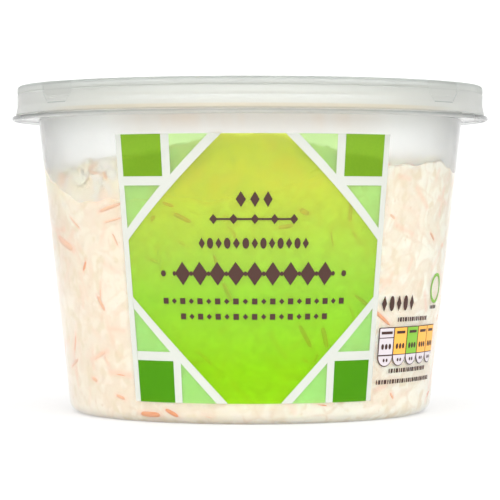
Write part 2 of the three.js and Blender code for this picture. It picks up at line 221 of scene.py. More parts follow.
class Finishes(PropertyGroup):
    """Colours of the pieces."""

    tub: colour("Tub", "Frosted plastic of the tub", 252, 253, 252)
    # painted shade along the tub's turned edges, in a band under its ledge and at its foot
    tub_painted_shade: colour("Tub edge", "The same where it turns or is thick", 150, 159, 156)
    # warm tint of the smears of dressing, also of the painted shade under the ledge and at the foot
    tub_warm: colour("Smears", "Thin smears of dressing on the inside, above the salad", 252, 226, 206)
    lid: colour("Lid", "Hazy plastic of the lid", 246, 247, 243)
    # painted shade at the lid's turned edges, groove, grip panels and skirt's lower edge
    lid_painted_shade: colour("Lid edge", "The same where it turns or is thick", 150, 160, 156)
    # painted reflection of the salad, seen in the flared edge of the skirt
    lid_warm: colour("Lid flare", "Flared edge of the skirt, tinted by the salad", 240, 232, 214)
    film: colour("Film", "White ink round the coloured fields", 211, 213, 206)
    # each ink's colours at the top and at the foot: painted light, paler and lighter at the top where more
    # light comes through from behind and above
    lime: colour("Lime", "What the lime ink lets through at the top", 243, 240, 90)
    lime_low: colour("Lime below", "The same at the foot", 197, 243, 44)
    lime_face: colour("Lime face", "What the lime ink scatters back at the top", 184, 218, 128)
    lime_face_low: colour("Lime face below", "The same at the foot", 166, 218, 44)
    dark_green: colour("Dark green", "What the dark green ink lets through at the top", 162, 206, 70)
    dark_green_low: colour("Dark green below", "The same at the foot", 148, 206, 40)
    dark_green_face: colour("Dark green face", "What that ink scatters back at the top", 130, 172, 36)
    dark_green_face_low: colour("Dark green face below", "The same at the foot", 82, 156, 8)
    pale_green: colour("Pale green", "What the pale green ink lets through at the top", 210, 240, 174)
    pale_green_low: colour("Pale green below", "The same at the foot", 200, 244, 172)
    brown: colour("Brown", "Brown ink", 70, 46, 40)
    amber: colour("Amber", "Amber ink", 238, 174, 76)
    mid_green: colour("Mid green", "Green ink of the side cells", 124, 178, 54)
    cell_white: colour("Cell white", "White ink of the side cells", 204, 196, 200)
    dressing: colour("Dressing", "Creamy dressing", 253, 242, 226)
    # also painted light: lighter dressing towards the right of the salad
    thick: colour("Thick dressing", "Dressing over a pale shred", 255, 250, 235)
    peach: colour("Peach", "Dressing over a sunk carrot shred", 252, 210, 186)
    leaf: colour("Leaf", "Dressing over a sunk cabbage shred", 247, 233, 212)
    shade: colour("Shade", "Dressing in the seams between pieces", 238, 218, 194)
    # painted light: lighter, yellower dressing high up on the left, against the shade behind the air gap
    high: colour("High up", "Dressing near the top of the tub, behind the air gap", 255, 243, 213)
    tan: colour("Tan", "Dressing over small bits of leaf", 239, 224, 197)
    cabbage: colour("Cabbage", "Cabbage shreds", 254, 248, 232)
    cabbage_green: colour("Green cabbage", "Outer cabbage leaves", 243, 240, 208)
    carrot: colour("Carrot", "Carrot shreds", 253, 205, 172)
    carrot_deep: colour("Deep carrot", "Darkest carrot shreds", 245, 140, 60)
    onion: colour("Onion", "Onion pieces", 251, 244, 230)


class StudioSettings(PropertyGroup):
    """Camera and light."""

    distance: length("Distance", "From the tub's axis to the camera", 670)
    height: length("Height", "Of the camera", 55.1)
    pitch: turn("Pitch", "How far the camera looks down", 0.975)
    view: turn("View", "Width of the picture", 11.65)
    pool: factor("Pool", "Glow of the paper round the tub", 0.37)
    pool_inner: length("Pool inside", "Distance at which it starts to fade", 200)
    pool_outer: length("Pool outside", "Distance at which it has faded", 500)
    sides: factor("Sides", "Brightness to the left and right", 0.66)
    front: factor("Front", "Brightness behind the camera", 2.85)
    above: factor("Above", "Brightness high up all round", 3.2)
    zenith: factor("Zenith", "Brightness straight overhead", 1.3)


def settings(scene, group):
    """One of the groups above, as the scene holds it."""
    return getattr(scene, "coleslaw_" + group)


# ---------------------------------------------------------------- shapes
def around(angle, radius, height):
    """Points at an angle from the front (-Y), positive towards +X."""
    angle, radius, height = np.broadcast_arrays(angle, radius, height)
    return np.stack([radius * np.sin(angle), -radius * np.cos(angle), height], axis=-1)


def smooth(share):
    """An even ramp from 0 to 1 that starts and ends level."""
    share = np.clip(share, 0, 1)
    return share * share * (3 - 2 * share)


def lumps(points, size, seed):
    """Smooth random heights from -1 to 1 at the points, each bump about as wide as size."""
    cells = 32
    lattice = np.random.default_rng(seed).uniform(-1, 1, (cells, cells, cells))
    place = np.asarray(points) / size
    low = np.floor(place).astype(int)
    share = smooth(place - low)
    total = np.zeros(place.shape[:-1])
    for corner in itertools.product((0, 1), repeat=3):
        index = (low + corner) % cells
        weight = np.where(np.array(corner) == 1, share, 1 - share).prod(axis=-1)
        total += lattice[index[..., 0], index[..., 1], index[..., 2]] * weight
    return total


def rounded(corners, steps_per_turn=32, straight=2 * DEGREE):
    """A profile from corners of (radius, height, rounding), with each corner rounded.

    A corner that bends less than straight stays as it is, and so do both ends.
    """
    corners = [(np.array(corner[:2], float), corner[2] if len(corner) > 2 else 0) for corner in corners]
    points = [corners[0][0]]
    for (before, _), (corner, rounding), (after, _) in zip(corners, corners[1:], corners[2:]):
        back, on = before - corner, after - corner
        back_length, on_length = np.linalg.norm(back), np.linalg.norm(on)
        back, on = back / back_length, on / on_length
        between = math.acos(np.clip(back @ on, -1, 1))
        if rounding == 0 or math.pi - between < straight:
            points.append(corner)
            continue
        reach = min(rounding / math.tan(between / 2), 0.49 * back_length, 0.49 * on_length)
        rounding = reach * math.tan(between / 2)
        centre = corner + (back + on) / np.linalg.norm(back + on) * rounding / math.sin(between / 2)
        start, end = corner + back * reach - centre, corner + on * reach - centre
        steps = max(2, math.ceil((math.pi - between) / (2 * math.pi) * steps_per_turn))
        sweep = math.atan2(start[0] * end[1] - start[1] * end[0], start @ end)
        for i in range(steps + 1):
            a = sweep * i / steps
            spin = np.array([[math.cos(a), -math.sin(a)], [math.sin(a), math.cos(a)]])
            points.append(centre + spin @ start)
    points.append(corners[-1][0])
    return points


def with_rows(points, most, margin=0.3 * MM):
    """The same profile with points near the ends of long runs, and between them.

    most(middle of a run) is how far apart they may be.
    """
    found = [points[0]]
    for start, end in zip(points, points[1:]):
        run = np.linalg.norm(end - start)
        cuts = []
        if run > 4 * margin:
            spacing = most((start + end) / 2)
            inner = np.linspace(margin, run - margin, max(2, math.ceil(run / spacing)))
            cuts = list(inner / run)
        found += [start + (end - start) * cut for cut in cuts]
        found.append(end)
    return np.array(found)


def faces_between(rows, columns):
    """Quads between rows of points that close round the tub."""
    row, column = np.meshgrid(np.arange(rows - 1), np.arange(columns), indexing="ij")
    here, on = row * columns + column, row * columns + (column + 1) % columns
    return np.stack([here, on, on + columns, here + columns], axis=-1).reshape(-1, 4)


def closed_skin(rings, low_pole, high_pole):
    """Vertices and faces of a closed skin: rings (rows, columns, 3) with a point at each end."""
    rows, columns = rings.shape[:2]
    vertices = np.concatenate([rings.reshape(-1, 3), [low_pole, high_pole]])
    faces = faces_between(rows, columns).tolist()
    last, low, high = (rows - 1) * columns, rows * columns, rows * columns + 1
    for i in range(columns):
        on = (i + 1) % columns
        faces.append((low, on, i))
        faces.append((high, last + i, last + on))
    return vertices, faces


def mesh_of(name, vertices, faces):
    """A smooth shaded mesh."""
    mesh = bpy.data.meshes.new(name)
    mesh.from_pydata(np.asarray(vertices).tolist(), [], faces)
    mesh.update()
    mesh.shade_smooth()
    return mesh


def put(name, mesh, slot, material, *nodes):
    """Adds a piece to the scene, riding on the tub's one body."""
    piece = bpy.data.objects.new(name, mesh)
    bpy.context.scene.collection.objects.link(piece)
    mesh.materials.append(material)
    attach(piece, BODY)
    if nodes:
        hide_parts(*nodes)


def turned(name, profile, angles, skin, shape=None):
    """A turned mesh: the profile runs from the axis, under the piece, round its outside and back.

    skin(angles, radius, height) gives three numbers for each point, painted on the mesh as 'skin': 1 where
    the plastic is frosted and 0 where it is glossy, how much painted shade it has, and how warm its tint is.
    """
    radius, height = profile[1:-1, 0][:, None], profile[1:-1, 1][:, None]
    radius = np.broadcast_to(radius, (len(profile) - 2, len(angles)))
    numbers = skin(angles[None, :], radius, height)
    if shape is not None:
        radius = shape(angles[None, :], radius, height)
    rings = around(angles[None, :], radius, height)
    mesh = mesh_of(name, *closed_skin(rings, (0, 0, profile[0, 1]), (0, 0, profile[-1, 1])))
    painting = np.zeros((len(mesh.vertices), 3))
    for channel, values in enumerate(numbers):
        painting[:-2, channel] = np.broadcast_to(values, radius.shape).ravel()
    paint(mesh, "skin", painting)
    return mesh


def near_spots(radius, height, spots):
    """1 at a spot (radius, height, reach) and falling to 0 past its reach."""
    found = 0
    for spot_radius, spot_height, reach in spots:
        away = np.hypot(radius - spot_radius, height - spot_height) / reach
        found = np.maximum(found, np.exp(-away * away))
    return found


def paint(mesh, name, values):
    """Stores three numbers for each vertex as a colour attribute."""
    layer = mesh.color_attributes.new(name, "FLOAT_COLOR", "POINT")
    values = np.concatenate([values, np.ones((len(values), 1))], axis=1)
    layer.data.foreach_set("color", values.astype(np.float32).ravel())


def wall_radius(tub, height):
    """Radius of the wall's outside at a height."""
    return tub.base_radius + tub.taper * height


def inner_radius(tub, height):
    """Radius of the wall's inside at a height."""
    return wall_radius(tub, height) - tub.plastic


# ---------------------------------------------------------------- materials
def add_node(tree, kind, inputs=None, **options):
    """Adds a shader node. An input is a value, or another node's output to link."""
    node = tree.nodes.new(kind)
    for option, value in options.items():
        setattr(node, option, value)
    for socket, value in (inputs or {}).items():
        if isinstance(value, bpy.types.NodeSocket):
            tree.links.new(value, node.inputs[socket])
        else:
            node.inputs[socket].default_value = value
    return node


def new_material(name):
    """An empty material with the output of its tree."""
    material = bpy.data.materials.new(name)
    material.use_nodes = True
    tree = material.node_tree
    tree.nodes.clear()
    return material, tree, add_node(tree, "ShaderNodeOutputMaterial")


def place_in(tree, shift=0, stretch=(1, 1, 1)):
    """Object space, moved by shift so that two textures of one size don't match."""
    place = add_node(tree, "ShaderNodeTexCoord").outputs["Object"]
    inputs = {"Vector": place, "Location": (shift, shift, shift), "Scale": stretch}
    return add_node(tree, "ShaderNodeMapping", inputs).outputs[0]


def object_axes(tree):
    """X, Y and Z in object space, each as a socket."""
    place = add_node(tree, "ShaderNodeTexCoord").outputs["Object"]
    return add_node(tree, "ShaderNodeSeparateXYZ", {0: place}).outputs


def noise(tree, size, detail=3.0, roughness=0.5, stretch=(1, 1, 1), shift=0):
    """Procedural noise with features about as wide as size, in metres."""
    inputs = {
        "Vector": place_in(tree, shift, stretch),
        "Scale": 1 / size,
        "Detail": detail,
        "Roughness": roughness,
    }
    return add_node(tree, "ShaderNodeTexNoise", inputs).outputs["Fac"]


def seams(tree, size, warp):
    """Distance to the edges of irregular cells about as wide as size: 0 in the seams between them."""
    inputs = {"Vector": place_in(tree), "Scale": 0.6 / size, "Detail": 2.0}
    wobble = add_node(tree, "ShaderNodeTexNoise", inputs).outputs["Color"]
    shift = add_node(tree, "ShaderNodeVectorMath", {0: wobble, 3: warp}, operation="SCALE")
    place = add_node(tree, "ShaderNodeVectorMath", {0: place_in(tree), 1: shift.outputs[0]})
    inputs = {"Vector": place.outputs[0], "Scale": 1 / size}
    cells = add_node(tree, "ShaderNodeTexVoronoi", inputs, feature="DISTANCE_TO_EDGE")
    return cells.outputs["Distance"]


def spread(tree, value, low, high, from_low=0.3, from_high=0.7):
    """Maps a value onto low to high. Noise, which keeps near the middle of 0 to 1, has the default range."""
    inputs = {"Value": value, "From Min": from_low, "From Max": from_high, "To Min": low, "To Max": high}
    return add_node(tree, "ShaderNodeMapRange", inputs).outputs[0]


def times(tree, first, second):
    """The product of two values."""
    return add_node(tree, "ShaderNodeMath", {0: first, 1: second}, operation="MULTIPLY").outputs[0]


def blend(tree, share, first, second):
    """Mixes two colours, each a socket or a fixed colour."""
    node = add_node(tree, "ShaderNodeMix", data_type="RGBA")
    for index, value in ((0, share), (6, first), (7, second)):
        if isinstance(value, bpy.types.NodeSocket):
            tree.links.new(value, node.inputs[index])
        else:
            node.inputs[index].default_value = value if index == 0 else (*value, 1)
    return node.outputs[2]


def bump(tree, height, distance):
    """Fine relief, distance high."""
    return add_node(tree, "ShaderNodeBump", {"Height": height, "Distance": distance}).outputs[0]


def painted(tree, name):
    """The three numbers that paint() stored, each as a socket."""
    attribute = add_node(tree, "ShaderNodeAttribute", attribute_name=name)
    split = add_node(tree, "ShaderNodeSeparateColor", {"Color": attribute.outputs["Color"]})
    return split.outputs[0], split.outputs[1], split.outputs[2]


def plastic_finish(name, tint, painted_shade_tint, warm_tint, clear, index, gloss, frost, grain, ripple):
    """Moulded plastic with glossy and frosted skins. Part of it lets light through and part scatters it.

    gloss and frost are ranges of roughness, clear the share that lets light through.
    """
    material, tree, output = new_material(name)
    frosted, edge, warm = painted(tree, "skin")
    streaks = noise(tree, 9 * MM, 2, 0.5, (1, 1, 0.35))
    fine = noise(tree, grain, 2, 0.6)
    skins = {0: frosted, 2: spread(tree, streaks, *gloss), 3: spread(tree, streaks, *frost)}
    roughness = add_node(tree, "ShaderNodeMix", skins)
    shader = add_node(
        tree,
        "ShaderNodeBsdfPrincipled",
        {
            # the base colour carries painted shade (edge) and warm tints: smears of dressing and painted
            # shade on the tub, a painted reflection of the salad on the lid
            "Base Color": blend(tree, edge, blend(tree, warm, tint, warm_tint), painted_shade_tint),
            "Roughness": roughness.outputs[0],
            "IOR": index,
            "Transmission Weight": clear,
            "Normal": bump(tree, fine, ripple),
        },
    )
    tree.links.new(shader.outputs[0], output.inputs["Surface"])
    return material


TINT_RISE = (32 * MM, 62 * MM)  # heights between which an ink's tint turns from its low colour to its own: painted light, lighter at the top
FACE_RISE = (14 * MM, 42 * MM)  # the same for its face


def ink_finish(name, body, tint, low_tint=None, face=None, low_face=None):
    """Printed ink that filters what lies behind it.

    A tint is the colour that a layer lets through on the way in and out, a face the colour that the ink
    scatters back, and body the share that does. Both turn to their low colour towards the print's foot:
    painted light, lighter and paler at the top, where more light comes through from behind and above.
    """
    low_tint = low_tint or tint
    face, low_face = face or tint, low_face or low_tint
    material, tree, output = new_material(name)
    dots = noise(tree, 0.5 * MM, 2, 0.6)
    mottle = noise(tree, 6 * MM, 3)
    _, _, height = object_axes(tree)
    tint_up = spread(tree, height, 0, 1, *TINT_RISE)
    face_up = spread(tree, height, 0, 1, *FACE_RISE)
    each_way = [[math.sqrt(value) for value in whole] for whole in (low_tint, tint)]
    filtered = blend(tree, spread(tree, mottle, 0, 0.06), blend(tree, tint_up, *each_way), (1, 1, 1))
    through = add_node(tree, "ShaderNodeBsdfTransparent", {"Color": filtered})
    own = blend(tree, face_up, low_face, face)
    darker = [value * 0.8 for value in low_face]
    solid = add_node(
        tree,
        "ShaderNodeBsdfPrincipled",
        {
            "Base Color": blend(tree, spread(tree, dots, 0, 0.12), own, darker),
            "Roughness": 0.4,
            "Specular IOR Level": 0.2,
            "Normal": bump(tree, dots, 0.004 * MM),
        },
    )
    mix = add_node(tree, "ShaderNodeMixShader", {0: body, 1: through.outputs[0], 2: solid.outputs[0]})
    tree.links.new(mix.outputs[0], output.inputs["Surface"])
    return material


def moist_finish(name, base, roughness, scatter, grain, ripple):
    """Moist food: base(tree) gives its colour, roughness a range, scatter how far light spreads inside it.

    Its fine relief is about as wide as grain and as high as ripple.
    """
    material, tree, output = new_material(name)
    wet = noise(tree, 2.5 * MM, 3)
    fine = noise(tree, grain, 3, 0.6)
    shader = add_node(
        tree,
        "ShaderNodeBsdfPrincipled",
        {
            "Base Color": base(tree),
            "Roughness": spread(tree, wet, *roughness),
            "IOR": 1.4,
            "Subsurface Weight": 0.35,
            "Subsurface Radius": (1.0, 0.75, 0.5),
            "Subsurface Scale": scatter,
            "Normal": bump(tree, fine, ripple),
        },
    )
    tree.links.new(shader.outputs[0], output.inputs["Surface"])
    return material


# ---------------------------------------------------------------- tub
def tub_profile(tub):
    """The tub's outline from the middle of its underside, over the rim, to the middle of its floor."""
    soft = tub.soft_edge
    ledge_under = tub.ledge_top - tub.ledge_thickness
    rim_under = tub.rim_top - tub.plastic
    lip_inner = tub.ledge_radius - tub.lip_width
    rim_inner = tub.rim_radius - tub.plastic
    rim_bottom = tub.rim_top - tub.rim_lip
    floor_top = tub.foot_depth + tub.floor
    foot_inner = wall_radius(tub, tub.corner) - tub.corner - tub.foot_width
    corners = [
        (0, tub.foot_depth),
        (foot_inner - tub.foot_depth, tub.foot_depth, soft),
        (foot_inner, 0, soft),
        (wall_radius(tub, 0), 0, tub.corner),
        (wall_radius(tub, ledge_under), ledge_under, soft),
        (lip_inner, ledge_under, soft / 2),
        (lip_inner, tub.lip_bottom, soft / 2),
        (tub.ledge_radius, tub.lip_bottom, soft),
        (tub.ledge_radius, tub.ledge_top, soft),
        (wall_radius(tub, tub.ledge_top), tub.ledge_top, soft),
        (wall_radius(tub, rim_under), rim_under, soft),
        (rim_inner, rim_under, soft),
        (rim_inner, rim_bottom, soft / 2),
        (tub.rim_radius, rim_bottom, soft),
        (tub.rim_radius, tub.rim_top, 2 * soft),
        (inner_radius(tub, tub.rim_top), tub.rim_top, soft),
        (inner_radius(tub, floor_top), floor_top, tub.corner - tub.plastic / 2),
        (0, floor_top),
    ]

    def row_spacing(middle):
        near_ledge = middle[1] > tub.ledge_top - 5.8 * MM
        return 0.5 * MM if near_ledge else 4 * MM

    return with_rows(rounded(corners), row_spacing)


def tub_skin(tub):
    """Where the tub is frosted, the painted shade along its turned edges, and the tints on its front.

    Just under the ledge the wall has a band of painted shade with a warm tint, and smears of dressing on its
    inside; at the foot it has a little painted shade, tinted warm too.
    """
    spots = (
        (tub.ledge_radius, tub.ledge_top - 0.25 * MM, 0.26 * MM),
        (tub.rim_radius, tub.rim_top, 0.6 * MM),
    )
    ledge_shade_start, ledge_shade_rise, ledge_shade_fall = 73 * MM, 2 * MM, 1 * MM
    foot_end, foot_fall = 6 * MM, 2.5 * MM
    smear_height, smear_half = 77.8 * MM, 0.8 * MM

    def smears(angles, radius, height):
        places = around(angles, radius, height * 2)
        patches = 0.7 * lumps(places, 5 * MM, 7) + 0.4 * lumps(places, 2 * MM, 9)
        middle = smear_height + 0.5 * MM * lumps(around(angles, radius, 0), 3 * MM, 11)
        return smooth(0.45 + patches) * np.exp(-((height - middle) / smear_half) ** 2)

    def skin(angles, radius, height):
        inside = radius < wall_radius(tub, height) - tub.plastic / 2
        above_floor = height > tub.foot_depth + tub.floor / 2
        front = smooth((np.cos(angles) - 0.75) / 0.15)
        rising, falling = (height - ledge_shade_start) / ledge_shade_rise, (tub.ledge_top - height) / ledge_shade_fall
        ledge_shade = smooth(rising) * smooth(falling) * front
        foot = smooth((foot_end - height) / foot_fall) * front
        # painted shade: dark lines at the ledge's top and the rim, a band under the ledge, and a little at
        # the foot
        edge = np.maximum(0.8 * near_spots(radius, height, spots), 0.2 * ledge_shade * inside + 0.08 * foot)
        # warm tint: the smears of dressing, and the warm part of the painted shade under the ledge and at
        # the foot
        warm = np.maximum(smears(angles, radius, height) * front, 0.5 * ledge_shade) * inside + 0.06 * foot
        front_or_back = smooth((np.abs(np.cos(angles)) - 0.2) / 0.3)
        turned_out = (radius > wall_radius(tub, height) + tub.plastic / 4) * front_or_back
        return np.maximum(inside & above_floor, turned_out), edge, warm

    return skin


class COLESLAW_OT_tub(Operator):
    """Make the tub: tapered wall, foot ring, ledge with its lip, and rolled rim"""

    bl_idname = "coleslaw.tub"
    bl_label = "Tub"

    def execute(self, context):
        tub = settings(context.scene, "tub")
        finishes = settings(context.scene, "finishes")
        columns = 360
        angles = np.linspace(-math.pi, math.pi, columns, endpoint=False)
        mesh = turned("tub_shell", tub_profile(tub), angles, tub_skin(tub))
        finish = plastic_finish(
            "frosted_plastic", finishes.tub, finishes.tub_painted_shade, finishes.tub_warm,
            clear=0.97, index=1.36, gloss=(0.1, 0.14), frost=(0.3, 0.4), grain=0.7 * MM, ripple=0.008 * MM,
        )
        put("tub_shell", mesh, "tub_plastic", finish, "tub")
        return {"FINISHED"}


# ---------------------------------------------------------------- lid
def lid_profile(lid):
    """The lid's outline from the middle of its underside, round the skirt, to the middle of its top."""
    soft = 0.3 * MM
    ring_under = lid.top - lid.plastic
    panel_top = lid.panel_bottom + lid.plastic
    groove_top = lid.top - lid.shoulder
    skirt_inner = lid.skirt_radius - lid.plastic
    step_top = lid.step_radius - lid.plastic / 2

    def plug(height):
        return lid.plug_radius + lid.plug_taper * (height - lid.panel_bottom)

    corners = [
        (0, lid.panel_bottom + lid.step),
        (lid.step_radius, lid.panel_bottom + lid.step, soft),
        (lid.step_radius + lid.step_run, lid.panel_bottom, soft),
        (plug(lid.panel_bottom), lid.panel_bottom, 2 * soft),
        (plug(ring_under), ring_under, soft),
        (skirt_inner, ring_under, 3 * soft),
        (skirt_inner, lid.bead_height + lid.bead_half, soft),
        (skirt_inner - lid.bead_depth, lid.bead_height, soft),
        (skirt_inner, lid.bead_height - lid.bead_half, soft),
        (skirt_inner, lid.flare_start, soft),
        (lid.flare_radius - lid.plastic, lid.skirt_bottom, soft / 2),
        (lid.flare_radius, lid.skirt_bottom, soft),
        (lid.skirt_radius, lid.flare_start, 3 * soft),
        (lid.skirt_radius, groove_top - lid.groove_height, soft / 3),
        (lid.skirt_radius - lid.groove_depth, groove_top - lid.groove_height / 2, soft / 3),
        (lid.skirt_radius, groove_top, soft / 6),
        (lid.skirt_radius, lid.top, lid.shoulder),
        (plug(lid.top) - lid.plastic, lid.top, 2 * soft),
        (plug(panel_top) - lid.plastic, panel_top, 2 * soft),
        (step_top + lid.step_run, panel_top, soft),
        (step_top, panel_top + lid.step, soft),
        (0, panel_top + lid.step),
    ]

    def row_spacing(middle):
        in_skirt = middle[0] > lid.skirt_radius - lid.groove_depth and middle[1] > lid.flare_start - 2 * MM
        return 0.1 * MM if in_skirt else 4 * MM

    return with_rows(rounded(corners), row_spacing)


def grip_centres(lid):
    """Angles of the four grip panels, two at the front and two at the back."""
    front = [lid.grip_turn, -lid.grip_turn]
    return front + [math.pi - a if a > 0 else -math.pi - a for a in front]


def lid_angles(lid):
    """Columns round the lid, close together at the grip panels."""
    wide_step, fine_step, beyond_grip = 1.8, 0.22 * DEGREE, 0.6 * DEGREE
    angles = list(np.arange(-180, 180, wide_step) * DEGREE)
    reach = lid.grip_span / 2 + beyond_grip
    for centre in grip_centres(lid):
        angles += list(centre + np.arange(-reach, reach, fine_step))
    return np.unique(np.round(np.sort(angles), 5))


def grip_share(lid, angles, height):
    """1 inside a grip panel and 0 outside it, with a soft edge."""
    edge = 0.34 * MM
    slant = lid.grip_shoulder - lid.grip_bottom
    share = np.zeros(np.broadcast(angles, height).shape)
    for centre in grip_centres(lid):
        away = np.abs(angles - centre)
        corner = lid.grip_corner * np.clip((lid.grip_shoulder - height) / slant, 0, 1)
        inside = (lid.grip_span / 2 - corner - away) * lid.skirt_radius
        share = np.maximum(share, smooth(inside / edge) * smooth((height - lid.grip_bottom) / edge))
    return share


def with_grips(lid):
    """Gives the function that sinks the grip panels into the skirt, fine ribs included."""
    ribs_start = lid.grip_bottom + 0.25 * MM
    ribs_end = ribs_start + lid.grip_ribs * lid.rib_pitch

    def shape(angles, radius, height):
        wave = 0.5 - 0.5 * np.cos(2 * math.pi * (height - ribs_start) / lid.rib_pitch)
        rib = np.where((height > ribs_start) & (height < ribs_end), wave * lid.rib_height, 0)
        floor = lid.skirt_radius - lid.grip_depth + rib
        outside = radius > lid.skirt_radius - lid.plastic / 2
        sunk = np.maximum(radius - floor, 0) * grip_share(lid, angles, height)
        return np.where(outside, radius - sunk, radius)

    return shape


def lid_skin(lid):
    """Where the lid is frosted, painted shade at its edges, groove and grips, and a painted reflection on
    its flare.
    """
    groove = lid.top - lid.shoulder - lid.groove_height / 2
    groove_spot = ((lid.skirt_radius - lid.groove_depth, groove, 0.28 * MM),)
    foot_spot = ((lid.flare_radius, lid.skirt_bottom, 0.2 * MM),)
    warm_end, warm_fall = lid.flare_start - 0.9 * MM, 0.5 * MM

    def edges(angles, radius, height, outside):
        # painted shade: an outline round each grip panel and a little inside it, a grey band on the
        # shoulder, a fine line in the groove and a dark line at the skirt's lower edge
        grip = grip_share(lid, angles, height)
        outline = np.maximum(4 * grip * (1 - grip), 0.06 * grip) * outside
        above_groove = smooth((height - groove) / (0.4 * MM))
        at_top = smooth((height - lid.top + 1.2 * MM) / (0.7 * MM))
        turned_down = smooth((radius - lid.skirt_radius + lid.shoulder * 1.1) / (0.8 * MM))
        shoulder = (0.12 * above_groove + 0.55 * at_top) * turned_down
        fine_line = 0.25 * near_spots(radius, height, groove_spot)
        lower_edge = 0.8 * near_spots(radius, height, foot_spot)
        return np.maximum(np.maximum(fine_line, lower_edge), np.maximum(shoulder, outline))

    def skin(angles, radius, height):
        outside = radius > lid.skirt_radius - lid.plastic / 2
        on_top = height > lid.panel_bottom + lid.plastic * 0.7
        ring = radius > lid.plug_radius - lid.plastic
        shoulder = (height > groove) & ring
        panel = radius < lid.plug_radius - 2 * lid.plastic
        frosted = ~(outside | on_top | panel) | shoulder
        front_or_back = smooth((np.abs(np.cos(angles)) - 0.5) / 0.35)
        # painted reflection of the salad on the flare, at the front and the back
        warm = smooth((warm_end - height) / warm_fall) * ring * front_or_back
        warm = warm * (radius > lid.skirt_radius - lid.plastic * 1.2)
        return frosted, edges(angles, radius, height, outside), warm

    return skin


class COLESLAW_OT_lid(Operator):
    """Make the press-on lid: rounded shoulder, groove, grip panels, flared skirt and sunk middle"""

    bl_idname = "coleslaw.lid"
    bl_label = "Lid"

    def execute(self, context):
        lid = settings(context.scene, "lid")
        finishes = settings(context.scene, "finishes")
        mesh = turned("lid_shell", lid_profile(lid), lid_angles(lid), lid_skin(lid), with_grips(lid))
        finish = plastic_finish(
            "hazy_plastic", finishes.lid, finishes.lid_painted_shade, finishes.lid_warm,
            clear=0.84, index=1.42, gloss=(0.29, 0.34), frost=(0.4, 0.5), grain=1.2 * MM, ripple=0.008 * MM,
        )
        put("lid_shell", mesh, "lid_plastic", finish, "lid")
        return {"FINISHED"}


# ---------------------------------------------------------------- print
def span_at(outline, angle):
    """Lowest and highest point of a convex outline at an angle."""
    heights = []
    for (a0, z0), (a1, z1) in zip(outline, outline[1:] + outline[:1]):
        low, high = min(a0, a1), max(a0, a1)
        if low - CLOSE <= angle <= high + CLOSE:
            if high - low < CLOSE:
                heights += [z0, z1]
            else:
                heights.append(z0 + (z1 - z0) * np.clip((angle - a0) / (a1 - a0), 0, 1))
    return min(heights), max(heights)


def bent_plate(outline, inner, outer, step=1.2 * DEGREE, thinnest=0.01 * MM):
    """A thin closed plate on the wall. outline is convex, points of (angle, height)."""
    corners = sorted({round(a, 6) for a, _ in outline})
    angles = []
    for start, end in zip(corners, corners[1:]):
        count = max(1, math.ceil((end - start) / step))
        angles += [start + (end - start) * i / count for i in range(count)]
    angles.append(corners[-1])
    rings = []
    for angle in angles:
        low, high = span_at(outline, angle)
        if high - low < thinnest:
            low, high = (low + high - thinnest) / 2, (low + high + thinnest) / 2
        rings.append([around(angle, inner(low), low), around(angle, outer(low), low),
                      around(angle, outer(high), high), around(angle, inner(high), high)])
    vertices = np.array(rings).reshape(-1, 3)
    faces = []
    for i in range(len(angles) - 1):
        for j in range(4):
            a, b = i * 4 + j, i * 4 + (j + 1) % 4
            faces.append((a, a + 4, b + 4, b))
    last = 4 * (len(angles) - 1)
    faces += [(0, 1, 2, 3), (last + 3, last + 2, last + 1, last)]
    return vertices, faces


def joined(plates):
    """One list of vertices and faces from several."""
    vertices, faces, start = [], [], 0
    for points, polygons in plates:
        vertices.append(points)
        faces += [tuple(index + start for index in polygon) for polygon in polygons]
        start += len(points)
    return np.concatenate(vertices), faces


def corner_shapes(sizes, side, up):
    """One corner of the print: its square, its two triangles, and the white bands between them.

    side is -1 or 1, up is True at the top.
    """
    edge = sizes.high if up else sizes.low
    inward = -1 if up else 1
    octagon_corner = sizes.high - sizes.side_high if up else sizes.side_low - sizes.low
    slope = octagon_corner / (sizes.half - sizes.flat_half)
    square_end = sizes.square_height
    under = square_end + sizes.under_gap

    def shape(*points):
        return [(side * angle, edge + inward * away) for angle, away in points]

    def on_octagon(angle):
        return angle, (angle - sizes.flat_half) * slope

    half, square_inner, under_inner = sizes.half, sizes.square_inner, sizes.under_inner
    outer, tip = sizes.beside_outer, sizes.beside_inner
    under_end = under + sizes.under_height
    square = shape((half, 0), (square_inner, 0), (square_inner, square_end), (half, square_end))
    beside = shape((outer, 0), (tip, 0), (outer, sizes.beside_height))
    below = shape((half, under), (under_inner, under), (half, under_end))
    bands = [
        shape((sizes.flat_half, 0), (tip, 0), (outer, sizes.beside_height), on_octagon(outer)),
        shape((outer, 0), (square_inner, 0), (square_inner, square_end), (outer, square_end)),
        shape((outer, square_end), (under_inner, square_end), on_octagon(under_inner), on_octagon(outer)),
        shape((under_inner, square_end), (half, square_end), (half, under), (under_inner, under)),
        shape((under_inner, under), (half, under_end), (half, octagon_corner), on_octagon(under_inner)),
    ]
    return square, [beside, below], bands


def octagon(sizes):
    """The large field in the middle."""
    half, flat = sizes.half, sizes.flat_half
    return [(-flat, sizes.low), (flat, sizes.low), (half, sizes.side_low), (half, sizes.side_high),
            (flat, sizes.high), (-flat, sizes.high), (-half, sizes.side_high), (-half, sizes.side_low)]


def margins(sizes):
    """The white strips at both sides of the print."""
    return [bar(side * (sizes.half + sizes.margin / 2), (sizes.low + sizes.high) / 2,
                sizes.margin, sizes.high - sizes.low) for side in (-1, 1)]


def bar(angle, height, wide, tall):
    """A rectangle round its middle: wide is an angle, tall a height. Lozenges and dots are given alike."""
    left, right, low, high = angle - wide / 2, angle + wide / 2, height - tall / 2, height + tall / 2
    return [(left, low), (right, low), (right, high), (left, high)]


